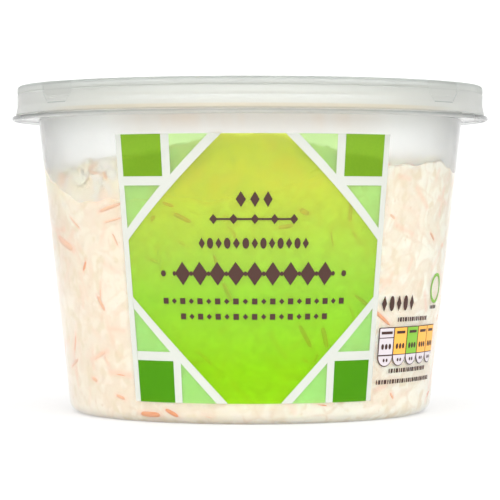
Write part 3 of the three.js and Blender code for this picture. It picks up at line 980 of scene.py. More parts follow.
def lozenge(angle, height, wide, tall):
    """A diamond."""
    left, right, low, high = angle - wide / 2, angle + wide / 2, height - tall / 2, height + tall / 2
    return [(left, height), (angle, low), (right, height), (angle, high)]


def dot(angle, height, wide, tall, corners=12):
    """A round dot."""
    turns = [2 * math.pi * i / corners for i in range(corners)]
    return [(angle + wide / 2 * math.cos(t), height + tall / 2 * math.sin(t)) for t in turns]


def row_of(shapes, middle, height, pitch, count, wide, tall):
    """A row of count shapes round a middle angle, taken in turn from a list of shapes."""
    start = middle - pitch * (count - 1) / 2
    return [shapes[i % len(shapes)](start + pitch * i, height, wide, tall) for i in range(count)]


def lean_at(sizes, angle, height):
    """How far a point of the print is turned: the left half is stretched outwards towards the top."""
    left = smooth(-angle / sizes.flat_half)
    upper = smooth((height - sizes.low) / (sizes.high - sizes.low))
    return sizes.centre - sizes.lean * float(left * upper)


def printed(name, context, outlines, layer, finish, on_label=True):
    """Puts outlines on the tub's wall as one piece of ink. layer 0 lies on the wall, 1 on that, and so on.

    Outlines on the label are drawn round its middle and lean as it does.
    """
    sizes = settings(context.scene, "print")
    tub = settings(context.scene, "tub")
    gap = sizes.clearance + layer * (sizes.ink + sizes.clearance)
    if on_label:
        outlines = [[(angle + lean_at(sizes, angle, z), z) for angle, z in outline] for outline in outlines]

    def inner(height):
        return wall_radius(tub, height) + gap

    def outer(height):
        return wall_radius(tub, height) + gap + sizes.ink

    mesh = mesh_of(name, *joined([bent_plate(outline, inner, outer) for outline in outlines]))
    mesh.set_sharp_from_angle(angle=40 * DEGREE)
    put(name, mesh, "label_print", finish, *(["label"] if on_label else []))


class COLESLAW_OT_front_print(Operator):
    """Print the front: lime octagon, green corner squares and pale triangles, with white between them"""

    bl_idname = "coleslaw.front_print"
    bl_label = "Front print"

    def execute(self, context):
        sizes = settings(context.scene, "print")
        finishes = settings(context.scene, "finishes")
        corners = [corner_shapes(sizes, side, up) for side in (-1, 1) for up in (True, False)]
        squares = [square for square, _, _ in corners]
        triangles = [triangle for _, pair, _ in corners for triangle in pair]
        bands = [band for _, _, found in corners for band in found] + margins(sizes)
        shaded = ("", "_low", "_face", "_face_low")
        inks = [
            ("ink_lime", [octagon(sizes)], 0.2, "lime", shaded),
            ("ink_dark_green", squares, 0.5, "dark_green", shaded),
            ("ink_pale_green", triangles, 0.15, "pale_green", shaded[:2]),
            ("ink_white", bands, 0.72, "film", shaded[:1]),
        ]
        for name, outlines, body, ink, parts in inks:
            shades = [tuple(getattr(finishes, ink + part)) for part in parts]
            printed(name, context, outlines, 0, ink_finish(name, body, *shades))
        return {"FINISHED"}


# Rows on the octagon and at the right: shapes, middle of the row in degrees and its height in mm, pitch in
# degrees, count, then the width in degrees and the height in mm of each shape.
ORNAMENT = (
    ([lozenge], 0, 57.4, 3.4, 3, 2.4, 4),
    ([bar], 0, 52.4, 1, 1, 21, 0.5),
    ([lozenge], 0, 52.4, 5.2, 5, 2.2, 2.6),
    ([lozenge, dot], 0, 46.3, 2.3, 13, 1.7, 2.8),
    ([lozenge], 0, 38.6, 4.9, 9, 4.4, 6),
    ([dot], 0, 38.6, 4.9, 10, 1, 1.2),
    ([dot], 0, 38.6, 50.6, 2, 1.5, 1.6),
    ([bar, lozenge], 0, 31.6, 2.5, 21, 1.5, 1.5),
    ([bar, lozenge], 0, 27.7, 2.5, 17, 1.5, 1.5),
)
SIDE_ROWS = (([lozenge, dot], 47.8, 30.5, 3.1, 5, 2, 4),)
DASH_LINES = (  # lines at the right: two ends in degrees, height and thickness in mm
    (47.9, 64.8, 26.2, 1.1),
    (45.7, 66.6, 12.9, 1.1),
    (40.6, 72.2, 10.1, 1.1),
    (66.4, 72, 28.9, 0.9),
)


def rows_of(table):
    """Outlines of all rows of such a table."""
    found = []
    for shapes, middle, height, pitch, count, wide, tall in table:
        middle, pitch, wide = middle * DEGREE, pitch * DEGREE, wide * DEGREE
        found += row_of(shapes, middle, height * MM, pitch, count, wide, tall * MM)
    return found


class COLESLAW_OT_ornament(Operator):
    """Print the brown ornament on the octagon: rows of lozenges, dots and dashes"""

    bl_idname = "coleslaw.ornament"
    bl_label = "Ornament"

    def execute(self, context):
        brown = tuple(settings(context.scene, "finishes").brown)
        printed("ink_brown", context, rows_of(ORNAMENT), 1, ink_finish("ink_brown", 0.97, brown))
        return {"FINISHED"}


def cell(angle, wide, low, high, corner, steps=6):
    """A cell whose lower end is round: corner is the height of that round end."""
    arc = [i / steps * math.pi / 2 for i in range(steps + 1)]
    left = [(angle - wide / 2 * math.cos(a), low + corner * (1 - math.sin(a))) for a in arc]
    right = [(2 * angle - a, z) for a, z in reversed(left[:-1])]
    return left + right + [(angle + wide / 2, high), (angle - wide / 2, high)]


def dashes(start, end, height, tall):
    """A line of dashes of uneven lengths from one angle to another."""
    gap = 0.55 * DEGREE
    lengths = itertools.cycle(step * DEGREE for step in (0.4, 0.8, 0.5, 1.0, 0.4, 0.6, 0.9))
    found, angle = [], start
    while angle < end - gap:
        wide = min(next(lengths), end - angle)
        found.append(bar(angle + wide / 2, height, wide, tall))
        angle += wide + gap
    return found


def ring_of_bars(angle, height, size, line, radius, count=56):
    """A plain ring on the wall, laid out as short overlapping bars."""
    found = []
    for t in np.linspace(0, 2 * math.pi, count, endpoint=False):
        place = angle + size / radius * math.sin(t)
        found.append(bar(place, height + size * math.cos(t), line / radius, line))
    return found


def cell_marks(sizes, middles):
    """Marks in the cells: each has a dash, three dots under it and two small dots in its round end.

    The first cell also has two lines across it.
    """
    pitch, high = sizes.cell_pitch, sizes.cell_high
    title = high - 2.7 * MM  # the line that cuts the dash's part off
    dash_height, dash_tall, first_dash, other_dash = high - 1.4 * MM, 0.7 * MM, 0.72 * pitch, 0.62 * pitch
    dots_height = (sizes.cell_middle + title) / 2
    foot_height = (sizes.cell_low + sizes.cell_middle) / 2 + 0.2 * MM
    marks = [bar(middles[0], height, pitch, sizes.cell_line) for height in (title, sizes.cell_middle)]
    for i, angle in enumerate(middles):
        marks.append(bar(angle, dash_height, other_dash if i else first_dash, dash_tall))
        marks += row_of([dot], angle, dots_height, 0.24 * pitch, 3, 0.17 * pitch, 1.5 * MM)
        marks += row_of([dot], angle, foot_height, 0.2 * pitch, 2, 0.12 * pitch, 0.9 * MM)
    return marks


class COLESLAW_OT_side_print(Operator):
    """Print the strip at the right: coloured cells, lozenges, a ring and rows of dashes"""

    bl_idname = "coleslaw.side_print"
    bl_label = "Side print"

    def execute(self, context):
        sizes = settings(context.scene, "print")
        finishes = settings(context.scene, "finishes")
        pitch, line = sizes.cell_pitch, sizes.cell_line
        radius = wall_radius(settings(context.scene, "tub"), sizes.cell_middle)
        inner = pitch - 2 * line / radius
        middles = [sizes.cell_start + pitch * (i + 0.5) for i in range(sizes.cell_count)]
        low, middle, high = sizes.cell_low, sizes.cell_middle, sizes.cell_high
        frames = [cell(angle, pitch, low, high, sizes.cell_corner) for angle in middles]
        feet = [cell(angle, inner, low + line, middle, sizes.cell_corner) for angle in middles]
        tops = [bar(angle, (middle + high) / 2, inner, high - middle - 2 * line) for angle in middles]
        lines = []
        for start, end, height, thick in DASH_LINES:
            lines += dashes(start * DEGREE, end * DEGREE, height * MM, thick * MM)
        ring = ring_of_bars(sizes.ring_turn, sizes.ring_height, sizes.ring_size, sizes.ring_line, radius)
        inks = [
            ("side_brown", frames + lines + rows_of(SIDE_ROWS), finishes.brown, 0.95, 0),
            ("side_white", feet + tops[:1], finishes.cell_white, 0.97, 1),
            ("side_amber", [tops[1]] + tops[3:], finishes.amber, 0.97, 1),
            ("side_green", [tops[2]], finishes.mid_green, 0.97, 1),
            ("side_marks", cell_marks(sizes, middles), finishes.brown, 0.85, 2),
            ("side_ring", ring, finishes.mid_green, 0.9, 0),
        ]
        for name, outlines, tint, body, layer in inks:
            printed(name, context, outlines, layer, ink_finish(name, body, tuple(tint)), False)
        return {"FINISHED"}


# ---------------------------------------------------------------- salad
HOLLOWS = (  # along the contact line: angle in degrees, depth in mm (a rise if negative), width in degrees
    (-84, -3.5, 12),
    (-46, 8.5, 24),
    (-4, 7, 24),
    (52, -3, 26),
    (96, 5, 12),
    (158, 6.5, 18),
    (-112, 4, 13),
)
DIPS = ((54, 1.5, 26), (-62, 1, 20))  # at the heap's edge: angle in degrees, depth in mm, width in degrees
RIDGE = (-3, 24)  # angle and width of the ridge behind the front, in degrees
PLACED = (  # carrot shreds bare at the wall: two ends (degrees, mm), width in mm, and 1 for a deep colour
    ((-45.8, 54.2), (-37, 56.4), 1.1, 0.15),
    ((-44.1, 51.4), (-37.1, 52.7), 0.6, 0),
    ((-41.1, 48.8), (-39.1, 45.4), 0.6, 0.1),
    ((-60.2, 53), (-55.1, 49.7), 0.6, 0),
    ((-71.3, 47.7), (-60, 44.4), 2.4, 0.1),
    ((-49.6, 32.5), (-46.6, 28.5), 1.2, 0.35),
    ((-72, 12.7), (-64.6, 15.2), 1, 0),
    ((-56.4, 10.7), (-53.5, 10), 1.2, 0.2),
    ((-44.8, 6.7), (-41, 5.8), 1, 0.45),
    ((-21, 53.9), (-15.8, 51.6), 1.4, 1),
    ((-24, 56.6), (-20.6, 55.6), 1, 1),
    ((13.2, 54.9), (16, 53.6), 1.6, 1),
    ((7.4, 50.2), (11.8, 50.9), 1.3, 1),
    ((-10, 43.8), (-7.6, 36.5), 1, 1),
    ((-7.6, 36.5), (-5, 31.4), 1.2, 1),
    ((30, 33.5), (45.8, 24.4), 1.2, 0.9),
    ((14, 25.7), (18, 19.6), 1.3, 1),
    ((21, 25.2), (22.9, 19.5), 1.6, 1),
    ((-35.6, 2.4), (-28, 2.3), 1.6, 0.8),
    ((-26.5, 3.8), (-22, 2), 1.2, 1),
    ((41.4, 53.6), (43.4, 52.4), 0.8, 0),
    ((61.3, 48.8), (64.8, 46.7), 0.9, 0.4),
    ((47.6, 7.2), (49.4, 5.5), 0.8, 0.6),
)
TOP_EDGE = 0.96  # share of the way out at which the heap's top turns down to the wall


def contact_height(mix, angle):
    """Height up to which the salad lies against the wall."""
    waves = 0.6 * np.sin(7 * angle) + 0.5 * np.sin(17 * angle + 2) + 0.3 * np.sin(41 * angle)
    height = mix.contact_level + waves * MM
    for centre, depth, width in HOLLOWS:
        away = np.abs((angle / DEGREE - centre + 180) % 360 - 180) / width
        height = height - depth * MM * np.exp(-away * away)
    return height


def top_height(mix, angle, share):
    """Top of the heap at an angle and a share of the way out."""
    degrees = angle / DEGREE
    swell = 0.5 * np.cos(2 * angle + 1.4) + 0.5 * np.sin(5 * angle - 0.4)
    for centre, depth, width in DIPS:
        swell = swell - depth * np.exp(-((degrees - centre) / width) ** 2)
    roll = 1.2 * np.cos(6 * share + angle)
    relief = (swell * share + roll - 0.8 * share**4) * MM
    front = np.exp(-((degrees - RIDGE[0]) / RIDGE[1]) ** 2) * smooth((share - 0.68) / 0.22)
    return mix.fill_level + 0.5 * MM + relief * (1 - front) + mix.ridge * front


def top_radius(tub, mix):
    """Radius at which the heap's top turns down to the wall."""
    return (inner_radius(tub, mix.fill_level) - mix.top_inset) * TOP_EDGE


def heap_height(mix, tub, x, y):
    """Height of the heap over a place, its shoulder down to the wall included."""
    angle = np.arctan2(x, -y)
    edge = top_radius(tub, mix)
    wall = inner_radius(tub, mix.contact_level)
    away = np.hypot(x, y)
    share = np.clip(away / (edge / TOP_EDGE), 0, TOP_EDGE)
    down = np.clip((away - edge) / (wall - edge), 0, 1) ** 3
    return top_height(mix, angle, share) * (1 - down) + contact_height(mix, angle) * down


def skin_radius(tub, mix, height):
    """Radius of the salad at the wall, round the base's corner too."""
    skin = tub.plastic - mix.reach
    below = np.maximum(tub.corner - np.asarray(height), 0)
    bend = tub.corner - skin
    middle = wall_radius(tub, tub.corner) - tub.corner
    round_part = middle + np.sqrt(np.maximum(bend**2 - below**2, 0))
    return np.where(below > 0, round_part, wall_radius(tub, height) - skin)


def shoulder(tub, mix, angle, share):
    """Radius and height on the heap's shoulder: share runs from 0 at the wall to 1 at the top's edge."""
    contact, top = contact_height(mix, angle), top_height(mix, angle, TOP_EDGE)
    start = skin_radius(tub, mix, contact)
    gap = 0.5 * MM * np.minimum(1, 6 * share)
    radius = start - gap - (start - gap - top_radius(tub, mix)) * share**4
    return radius, contact + (top - contact) * (1 - (1 - share) ** 2)


def heap_rings(tub, mix, columns):
    """Rings of the salad's outline from the tub's floor, up the wall, over the shoulder to the middle.

    Also gives the first and the last ring that lie on the wall.
    """
    angle = np.linspace(-math.pi, math.pi, columns, endpoint=False)
    skin = tub.plastic - mix.reach
    floor = tub.foot_depth + tub.floor - mix.reach
    foot = wall_radius(tub, tub.corner) - tub.corner - tub.foot_width
    rings = [around(angle, foot * share, floor) for share in (0.25, 0.5, 0.75, 0.95)]
    rings.append(around(angle, foot + 0.5 * MM, skin))
    corner_rows, side_rows, shoulder_rows, top_rows = 7, 96, 16, 40
    for i in range(corner_rows):
        height = tub.corner - (tub.corner - skin) * math.cos(i / (corner_rows - 1) * math.pi / 2)
        rings.append(around(angle, skin_radius(tub, mix, height), height))
    wall_start = len(rings)
    contact = contact_height(mix, angle)
    for i in range(1, side_rows + 1):
        height = tub.corner + (contact - tub.corner) * i / side_rows
        rings.append(around(angle, skin_radius(tub, mix, height), height))
    wall_end = len(rings)
    for i in range(1, shoulder_rows + 1):
        rings.append(around(angle, *shoulder(tub, mix, angle, i / (shoulder_rows + 1))))
    for i in range(top_rows):
        share = TOP_EDGE * (1 - i / top_rows)
        rings.append(around(angle, top_radius(tub, mix) / TOP_EDGE * share, top_height(mix, angle, share)))
    return np.array(rings), wall_start, wall_end


def with_relief(rings, wall_start, wall_end, mix):
    """Waves and small air pockets at the wall, lumps on the heap."""
    outward = rings * (1, 1, 0)
    outward /= np.maximum(np.linalg.norm(outward, axis=-1, keepdims=True), CLOSE)
    wall = rings[wall_start:wall_end]
    pocket = smooth((lumps(wall, 5 * MM, 1) + 0.4 * lumps(wall, 1.8 * MM, 2) - 0.9) / 0.25)
    wave = 0.05 * MM * lumps(wall, 2.5 * MM, 3)
    top = rings[wall_end:]
    strength = smooth(np.linspace(0, 1, len(top)) * 8)[:, None]
    raised = (lumps(top, mix.lump_size, 4) + 0.5 * lumps(top, mix.lump_size / 2.5, 5)) * mix.lump_height
    rings = rings.copy()
    outset = (wave - pocket * mix.pocket_depth)[..., None]
    rings[wall_start:wall_end] += outward[wall_start:wall_end] * outset
    rings[wall_end:, :, 2] += raised * strength
    return rings


def strand(points, facing, width, thickness, sides, end=0.97, edge=0.7):
    """Rings of corners of a flat strip.

    end is how far it thins out at both ends, edge the power that squares its round section.
    """
    along = np.gradient(points, axis=0)
    along /= np.linalg.norm(along, axis=1)[:, None]
    across = np.cross(facing, along)
    across /= np.linalg.norm(across, axis=1)[:, None]
    out = np.cross(along, across)
    stops = np.abs(np.linspace(-1, 1, len(points)))
    taper = np.sqrt(1 - end * stops**4)[:, None, None]
    spin = np.linspace(0, 2 * math.pi, sides, endpoint=False)
    u = np.sign(np.cos(spin)) * np.abs(np.cos(spin)) ** edge
    v = np.sign(np.sin(spin)) * np.abs(np.sin(spin)) ** edge
    flat = across[:, None] * (u[None, :, None] * width / 2)
    deep = out[:, None] * (v[None, :, None] * thickness / 2)
    return points[:, None] + (flat + deep) * taper


def strand_faces(rings, sides):
    """Faces of such a strip, its ends included."""
    quads = faces_between(rings, sides).tolist()
    last = (rings - 1) * sides
    return quads + [list(range(sides))[::-1], [last + i for i in range(sides)]]


# Sizes are ranges in mm. at_wall and on_top are lengths there, depth is how far a shred lies under the
# dressing's skin at the wall, and dive how much further its ends do. coated is a range of dressing on it.
Kind = namedtuple("Kind", "width thickness at_wall on_top depth bend dive rings sides light deep coated")
KINDS = {
    "cabbage": Kind(
        width=(1.2, 3.6), thickness=(0.5, 1.0), at_wall=(4, 14), on_top=(12, 32), depth=(0.02, 0.6),
        bend=0.28, dive=0.5, rings=10, sides=8, light="cabbage", deep="cabbage_green", coated=(0.1, 0.5),
    ),
    "carrot": Kind(
        width=(0.7, 1.6), thickness=(0.6, 1.1), at_wall=(2, 8), on_top=(7, 20), depth=(-0.14, 0.6),
        bend=0.04, dive=0.06, rings=9, sides=6, light="carrot", deep="carrot_deep", coated=(0.0, 0.4),
    ),
    "onion": Kind(
        width=(2.0, 4.2), thickness=(0.6, 1.0), at_wall=(3, 8), on_top=(4, 9), depth=(0.02, 0.5),
        bend=0.4, dive=0.4, rings=7, sides=8, light="onion", deep="leaf", coated=(0.1, 0.45),
    ),
}


def drawn_sizes(random, kind, lengths):
    """Width, thickness, length, bend and wiggle of one shred."""
    width = random.uniform(*kind.width) * MM
    thickness = random.uniform(*kind.thickness) * MM
    long = random.uniform(*lengths) * MM
    return width, thickness, long, random.normal(0, kind.bend), random.normal(0, kind.bend / 7) * long


def middle_line(kind, long, bend, wiggle, heading):
    """How far the middle of a flat shred runs along and across its place, and its stops from -1 to 1."""
    stops = np.linspace(-1, 1, kind.rings)
    run = stops * long / 2
    side = bend * run * stops + wiggle * np.sin(4 * stops)
    cosine, sine = math.cos(heading), math.sin(heading)
    return run * cosine - side * sine, run * sine + side * cosine, stops


def wall_shred(random, kind, tub, mix):
    """A shred at the wall.

    Gives its rings, and its line on the dressing's skin, how deep it lies under that and its width.
    """
    width, thickness, long, bend, wiggle = drawn_sizes(random, kind, kind.at_wall)
    heading = random.uniform(-0.5, 0.5) * math.pi
    angle = random.uniform(-math.pi, math.pi)
    depth = random.uniform(*kind.depth) * MM
    tilt = random.uniform(-0.5, 0.5)
    across, up, stops = middle_line(kind, long, bend, wiggle, heading)
    half = float(np.abs(up).max()) + width / 2
    low = tub.plastic + 0.6 * MM + half
    height = random.uniform(low, max(low + MM, float(contact_height(mix, angle)) - 0.7 * half)) + up
    place = angle + across / inner_radius(tub, height)
    sunk = depth + kind.dive * MM * (stops - tilt) ** 2
    line = around(place, skin_radius(tub, mix, height) - sunk - thickness / 2, height)
    rings = strand(line, around(place, 1.0, 0.0 * place), width, thickness, kind.sides)
    return rings, (around(place, skin_radius(tub, mix, height), height), depth, width)


def placed_shred(kind, tub, mix, start, end, width):
    """A shred laid bare along the wall from one place to another, as wall_shred gives it."""
    width, thickness, depth = width * MM, 0.9 * MM, -0.26 * MM
    share = np.linspace(0, 1, kind.rings)
    place = (start[0] + (end[0] - start[0]) * share) * DEGREE
    height = (start[1] + (end[1] - start[1]) * share) * MM
    skin = skin_radius(tub, mix, height)
    rings = strand(
        around(place, skin - depth - thickness / 2, height), around(place, 1.0, 0.0 * place),
        width, thickness, kind.sides,
    )
    return rings, (around(place, skin, height), depth, width)


def edge_shred(random, kind, tub, mix):
    """A shred lying on the heap's shoulder, behind the air gap."""
    width, thickness, long, bend, wiggle = drawn_sizes(random, kind, kind.at_wall)
    angle = random.uniform(-math.pi, math.pi)
    contact, top = float(contact_height(mix, angle)), float(top_height(mix, angle, TOP_EDGE))
    slope = max(top - contact, 2 * MM)
    heading = math.asin(min(1, slope / long)) * random.uniform(-1, 1)
    across, up, _ = middle_line(kind, long, bend, wiggle, heading)
    down = random.uniform(0.05, 0.95)
    place = angle + across / inner_radius(tub, contact)
    radius, height = shoulder(tub, mix, place, np.clip(down + up / slope, 0.02, 1))
    lift = random.uniform(-0.4, 0.2) * MM
    most = inner_radius(tub, height) - 0.15 * MM - thickness / 2
    line = around(place, np.minimum(radius + lift, most), height + max(lift, 0) / 2)
    return strand(line, around(place, 1.0, 0.3 + 0.0 * place), width, thickness, kind.sides)


def top_shred(random, kind, tub, mix):
    """A shred lying on the heap."""
    width, thickness, long, bend, wiggle = drawn_sizes(random, kind, kind.on_top)
    reach = inner_radius(tub, mix.fill_level) - 1.2 * MM
    away = (reach - long * 0.2) * math.sqrt(random.uniform(0, 1))
    angle = random.uniform(-math.pi, math.pi)
    along, across, stops = middle_line(kind, long, bend, wiggle, random.uniform(0, math.pi))
    x = away * math.sin(angle) + along
    y = -away * math.cos(angle) + across
    pull = np.minimum(1, reach / np.maximum(np.hypot(x, y), CLOSE))
    x, y = x * pull, y * pull
    ground = heap_height(mix, tub, x, y)
    rest = np.polyval(np.polyfit(stops, ground, 2), stops)
    curl = random.normal(0, 0.6) * MM * stops**2
    lift = random.uniform(-0.6, 0.8) * MM * random.uniform(0.2, 1)
    height = rest + max(0, float((ground - rest).max())) * 0.5 + lift + curl
    line = np.stack([x, y, np.minimum(height, mix.fill_level + 6 * MM)], axis=-1)
    tilt = random.normal(0, 0.35, 2)
    facing = np.tile([tilt[0], tilt[1], 1.0], (kind.rings, 1))
    return strand(line, facing, width, thickness, kind.sides)


def drawn_shreds(scene, name):
    """Every shred of one kind: rings of those at the wall, rings of the others, and how the first lie."""
    tub, mix, kind = settings(scene, "tub"), settings(scene, "mix"), KINDS[name]
    random = np.random.default_rng([mix.seed, list(KINDS).index(name)])
    at_wall = [wall_shred(random, kind, tub, mix) for _ in range(getattr(mix, name + "_at_wall"))]
    if name == "carrot":
        at_wall += [placed_shred(kind, tub, mix, *entry[:-1]) for entry in PLACED]
    others = [edge_shred(random, kind, tub, mix) for _ in range(getattr(mix, name + "_at_edge"))]
    others += [top_shred(random, kind, tub, mix) for _ in range(getattr(mix, name + "_on_top"))]
    return [rings for rings, _ in at_wall], others, [sunk for _, sunk in at_wall]


def shred_mesh(name, strands, coats):
    """One mesh of many shreds, with three numbers for each painted as 'coat'."""
    vertices = np.array(strands)
    rings, sides = vertices.shape[1:3]
    each = rings * sides
    template = strand_faces(rings, sides)
    faces = []
    for start in range(0, len(vertices) * each, each):
        faces += [[index + start for index in face] for face in template]
    mesh = mesh_of(name, vertices.reshape(-1, 3), faces)
    paint(mesh, "coat", np.repeat(np.array(coats), each, axis=0))
    return mesh


def show_through(points, sunk, edge, seed, clear=0.35 * MM):
    """How strongly sunk shreds show through the dressing at each point, and the tone of the one that does.

    edge is how soft a shred's outline is, clear the depth that dims it to about a third.
    """
    tree = KDTree(len(points))
    for index, point in enumerate(points):
        tree.insert(point, index)
    tree.balance()
    shown, tone = np.zeros(len(points)), np.zeros(len(points))
    tones = np.random.default_rng(seed).uniform(0, 1, len(sunk))
    for (line, depth, width), own in zip(sunk, tones):
        reach = width / 2 + edge
        strength = math.exp(-max(depth, 0) / clear)
        fine = np.linspace(0, len(line) - 1, 3 * len(line))
        low = np.minimum(fine.astype(int), len(line) - 2)
        samples = line[low] + (line[low + 1] - line[low]) * (fine - low)[:, None]
        for sample in samples:
            for _, index, away in tree.find_range(sample, reach):
                share = min(1, (reach - away) / (2 * edge))
                weight = strength * share * share * (3 - 2 * share)  # as smooth() gives it
                if weight > shown[index]:
                    shown[index], tone[index] = weight, own
    return shown, tone


PALE = 0.35  # share of the shreds of a kind that keep its light colour


class COLESLAW_OT_shreds(Operator):
    """Make the shreds: cabbage, carrot and onion, at the wall and on top"""

    bl_idname = "coleslaw.shreds"
    bl_label = "Shreds"

    def execute(self, context):
        scene = context.scene
        finishes = settings(scene, "finishes")
        for name, kind in KINDS.items():
            at_wall, others, _ = drawn_shreds(scene, name)
            random = np.random.default_rng(len(name))
            coats = random.uniform(0, 1, (len(at_wall) + len(others), 3))
            if name == "carrot":  # the placed shreds have colours of their own and little dressing on them
                placed = slice(len(at_wall) - len(PLACED), len(at_wall))
                coats[placed, 0] = [PALE + (1 - PALE) * entry[-1] for entry in PLACED]
                coats[placed, 1] = 0.3
            mesh = shred_mesh(name + "_shreds", at_wall + others, coats)
            put(name + "_shreds", mesh, "dressed_shreds", shred_finish(name, kind, finishes), "coleslaw")
        return {"FINISHED"}


class COLESLAW_OT_dressing(Operator):
    """Make the dressing: the salad's core, tinted over the shreds that are sunk in it"""

    bl_idname = "coleslaw.dressing"
    bl_label = "Dressing"

    def execute(self, context):
        scene = context.scene
        tub, mix = settings(scene, "tub"), settings(scene, "mix")
        columns = 540
        blush_size, carrot_edge, pale_edge = 8 * MM, 0.8 * MM, 0.6 * MM
        rings, wall_start, wall_end = heap_rings(tub, mix, columns)
        rings = with_relief(rings, wall_start, wall_end, mix)
        vertices, faces = closed_skin(rings, rings[0].mean(axis=0), rings[-1].mean(axis=0))
        mesh = mesh_of("dressing", vertices, faces)
        carrot, _ = show_through(vertices, drawn_shreds(scene, "carrot")[2], carrot_edge, mix.seed)
        # above the wall, carrot also tints the dressing in soft patches
        blush = 1.2 * smooth(0.35 + 0.9 * lumps(vertices, blush_size, 8))
        at_wall = np.arange(len(vertices)) < wall_end * columns
        carrot = np.where(at_wall, carrot, np.maximum(carrot, blush))
        pale = drawn_shreds(scene, "cabbage")[2] + drawn_shreds(scene, "onion")[2]
        cover, tone = show_through(vertices, pale, pale_edge, mix.seed)
        paint(mesh, "show", np.stack([carrot, cover, tone], axis=1))
        put("dressing", mesh, "dressed_shreds", dressing_finish(settings(scene, "finishes")), "coleslaw")
        return {"FINISHED"}


def shred_finish(name, kind, finishes):
    """Moist finish of one kind of shred: what is painted varies it from shred to shred."""
    light, deep = tuple(getattr(finishes, kind.light)), tuple(getattr(finishes, kind.deep))

    def base(tree):
        first, second, _ = painted(tree, "coat")
        own = blend(tree, spread(tree, first, 0, 1, PALE, 1), light, deep)
        own = blend(tree, spread(tree, noise(tree, 3 * MM, 2), 0, 0.25), own, light)
        patches = times(tree, second, noise(tree, 5 * MM, 3))
        return blend(tree, spread(tree, patches, *kind.coated, 0, 0.5), own, tuple(finishes.dressing))

    return moist_finish(
        name + "_flesh", base, roughness=(0.3, 0.45), scatter=1.0 * MM, grain=0.8 * MM, ripple=0.03 * MM
    )


PAINTED_LIGHT_RIGHT = (-15 * MM, 20 * MM)  # from left to right, the dressing turns lighter between these places: painted light
HIGH_UP = (56 * MM, 62 * MM)  # heights between which it turns to a lighter colour: painted light against the shade behind the air gap
HIGH_LEFT = (0, 40 * MM)  # from left to right, that colour fades out between these places


def dressing_finish(finishes):
    """Creamy dressing: blushed and tan patches, painted shade in the seams between covered pieces, painted
    light high up on the left and towards the right, and sunk shreds.
    """
    names = ("dressing", "peach", "leaf", "shade", "thick", "tan", "high")
    cream, peach, leaf, shade, thick, tan, high = (tuple(getattr(finishes, name)) for name in names)

    def base(tree):
        def patches(size, detail, most, start=0.3, end=0.7, roughness=0.5, shift=0):
            """Soft spots about as wide as size, at most as strong as most."""
            return spread(tree, noise(tree, size, detail, roughness, shift=shift), 0, most, start, end)

        carrot, cover, tone = painted(tree, "show")
        across, _, height = object_axes(tree)
        high_up = spread(tree, height, 0, 0.9, *HIGH_UP)
        own = blend(tree, patches(9 * MM, 3, 0.6), cream, leaf)
        own = blend(tree, patches(7 * MM, 3, 0.2, 0.5, 0.7, shift=0.3), own, peach)
        # painted light: the dressing turns lighter towards the right
        own = blend(tree, spread(tree, across, 0, 0.9, *PAINTED_LIGHT_RIGHT), own, thick)
        seam = spread(tree, seams(tree, 5 * MM, 3 * MM), 1, 0, 0, 0.11)
        own = blend(tree, times(tree, seam, patches(6 * MM, 2, 0.6, 0.45, 0.62, shift=0.7)), own, shade)
        shred = blend(tree, spread(tree, tone, 0, 1, 0.2, 0.8), leaf, thick)
        own = blend(tree, spread(tree, cover, 0, 0.6, 0, 0.8), own, shred)
        rim = add_node(tree, "ShaderNodeMath", {0: 1.0, 1: cover}, operation="SUBTRACT").outputs[0]
        own = blend(tree, spread(tree, times(tree, cover, rim), 0, 0.4, 0.05, 0.25), own, shade)
        own = blend(tree, patches(3.6 * MM, 1, 0.75, 0.57, 0.68, 0.4, 0.9), own, tan)
        own = blend(tree, patches(1.3 * MM, 2, 0.8, 0.66, 0.76, shift=0.5), own, shade)
        # painted light: lighter dressing high up on the left, against the shade behind the air gap
        at_left = times(tree, high_up, spread(tree, across, 1, 0, *HIGH_LEFT))
        own = blend(tree, at_left, own, high)
        return blend(tree, spread(tree, carrot, 0, 0.9, 0, 1.5), own, peach)

    return moist_finish(
        "creamy_dressing", base, roughness=(0.25, 0.4), scatter=0.8 * MM, grain=0.9 * MM, ripple=0.04 * MM
    )


# ---------------------------------------------------------------- studio
def backdrop_mesh():
    """A floor that turns up into a backdrop in one sweep."""
    wide, near, deep, tall, bend, steps = 2.4, -1.5, 1.1, 1.6, 0.5, 24
    profile = [(near, 0)]
    for i in range(steps + 1):
        a = i / steps * math.pi / 2
        profile.append((deep - bend + bend * math.sin(a), bend - bend * math.cos(a)))
    profile.append((deep, tall))
    vertices = [(x, y, z) for y, z in profile for x in (-wide, wide)]
    faces = [(2 * i, 2 * i + 1, 2 * i + 3, 2 * i + 2) for i in range(len(profile) - 1)]
    return mesh_of("sweep", vertices, faces)


def paper_finish(studio):
    """Pale paper with a pool of light that reaches from the tub to the foot of the backdrop."""
    grey = (0.41, 0.41, 0.41, 1)
    material, tree, output = new_material("white_paper")
    fibres = noise(tree, 2 * MM, 3)
    across, depth, height = object_axes(tree)
    ahead = add_node(tree, "ShaderNodeMath", {0: depth, 1: 0.0}, operation="MINIMUM").outputs[0]
    beside = add_node(tree, "ShaderNodeCombineXYZ", {"X": across, "Y": ahead, "Z": height}).outputs[0]
    away = add_node(tree, "ShaderNodeVectorMath", {0: beside}, operation="LENGTH").outputs["Value"]
    shader = add_node(
        tree,
        "ShaderNodeBsdfPrincipled",
        {
            "Base Color": grey,
            "Roughness": spread(tree, fibres, 0.7, 0.85),
            "Emission Color": (1, 1, 1, 1),
            "Emission Strength": spread(tree, away, studio.pool, 0, studio.pool_inner, studio.pool_outer),
        },
    )
    tree.links.new(shader.outputs[0], output.inputs["Surface"])
    return material


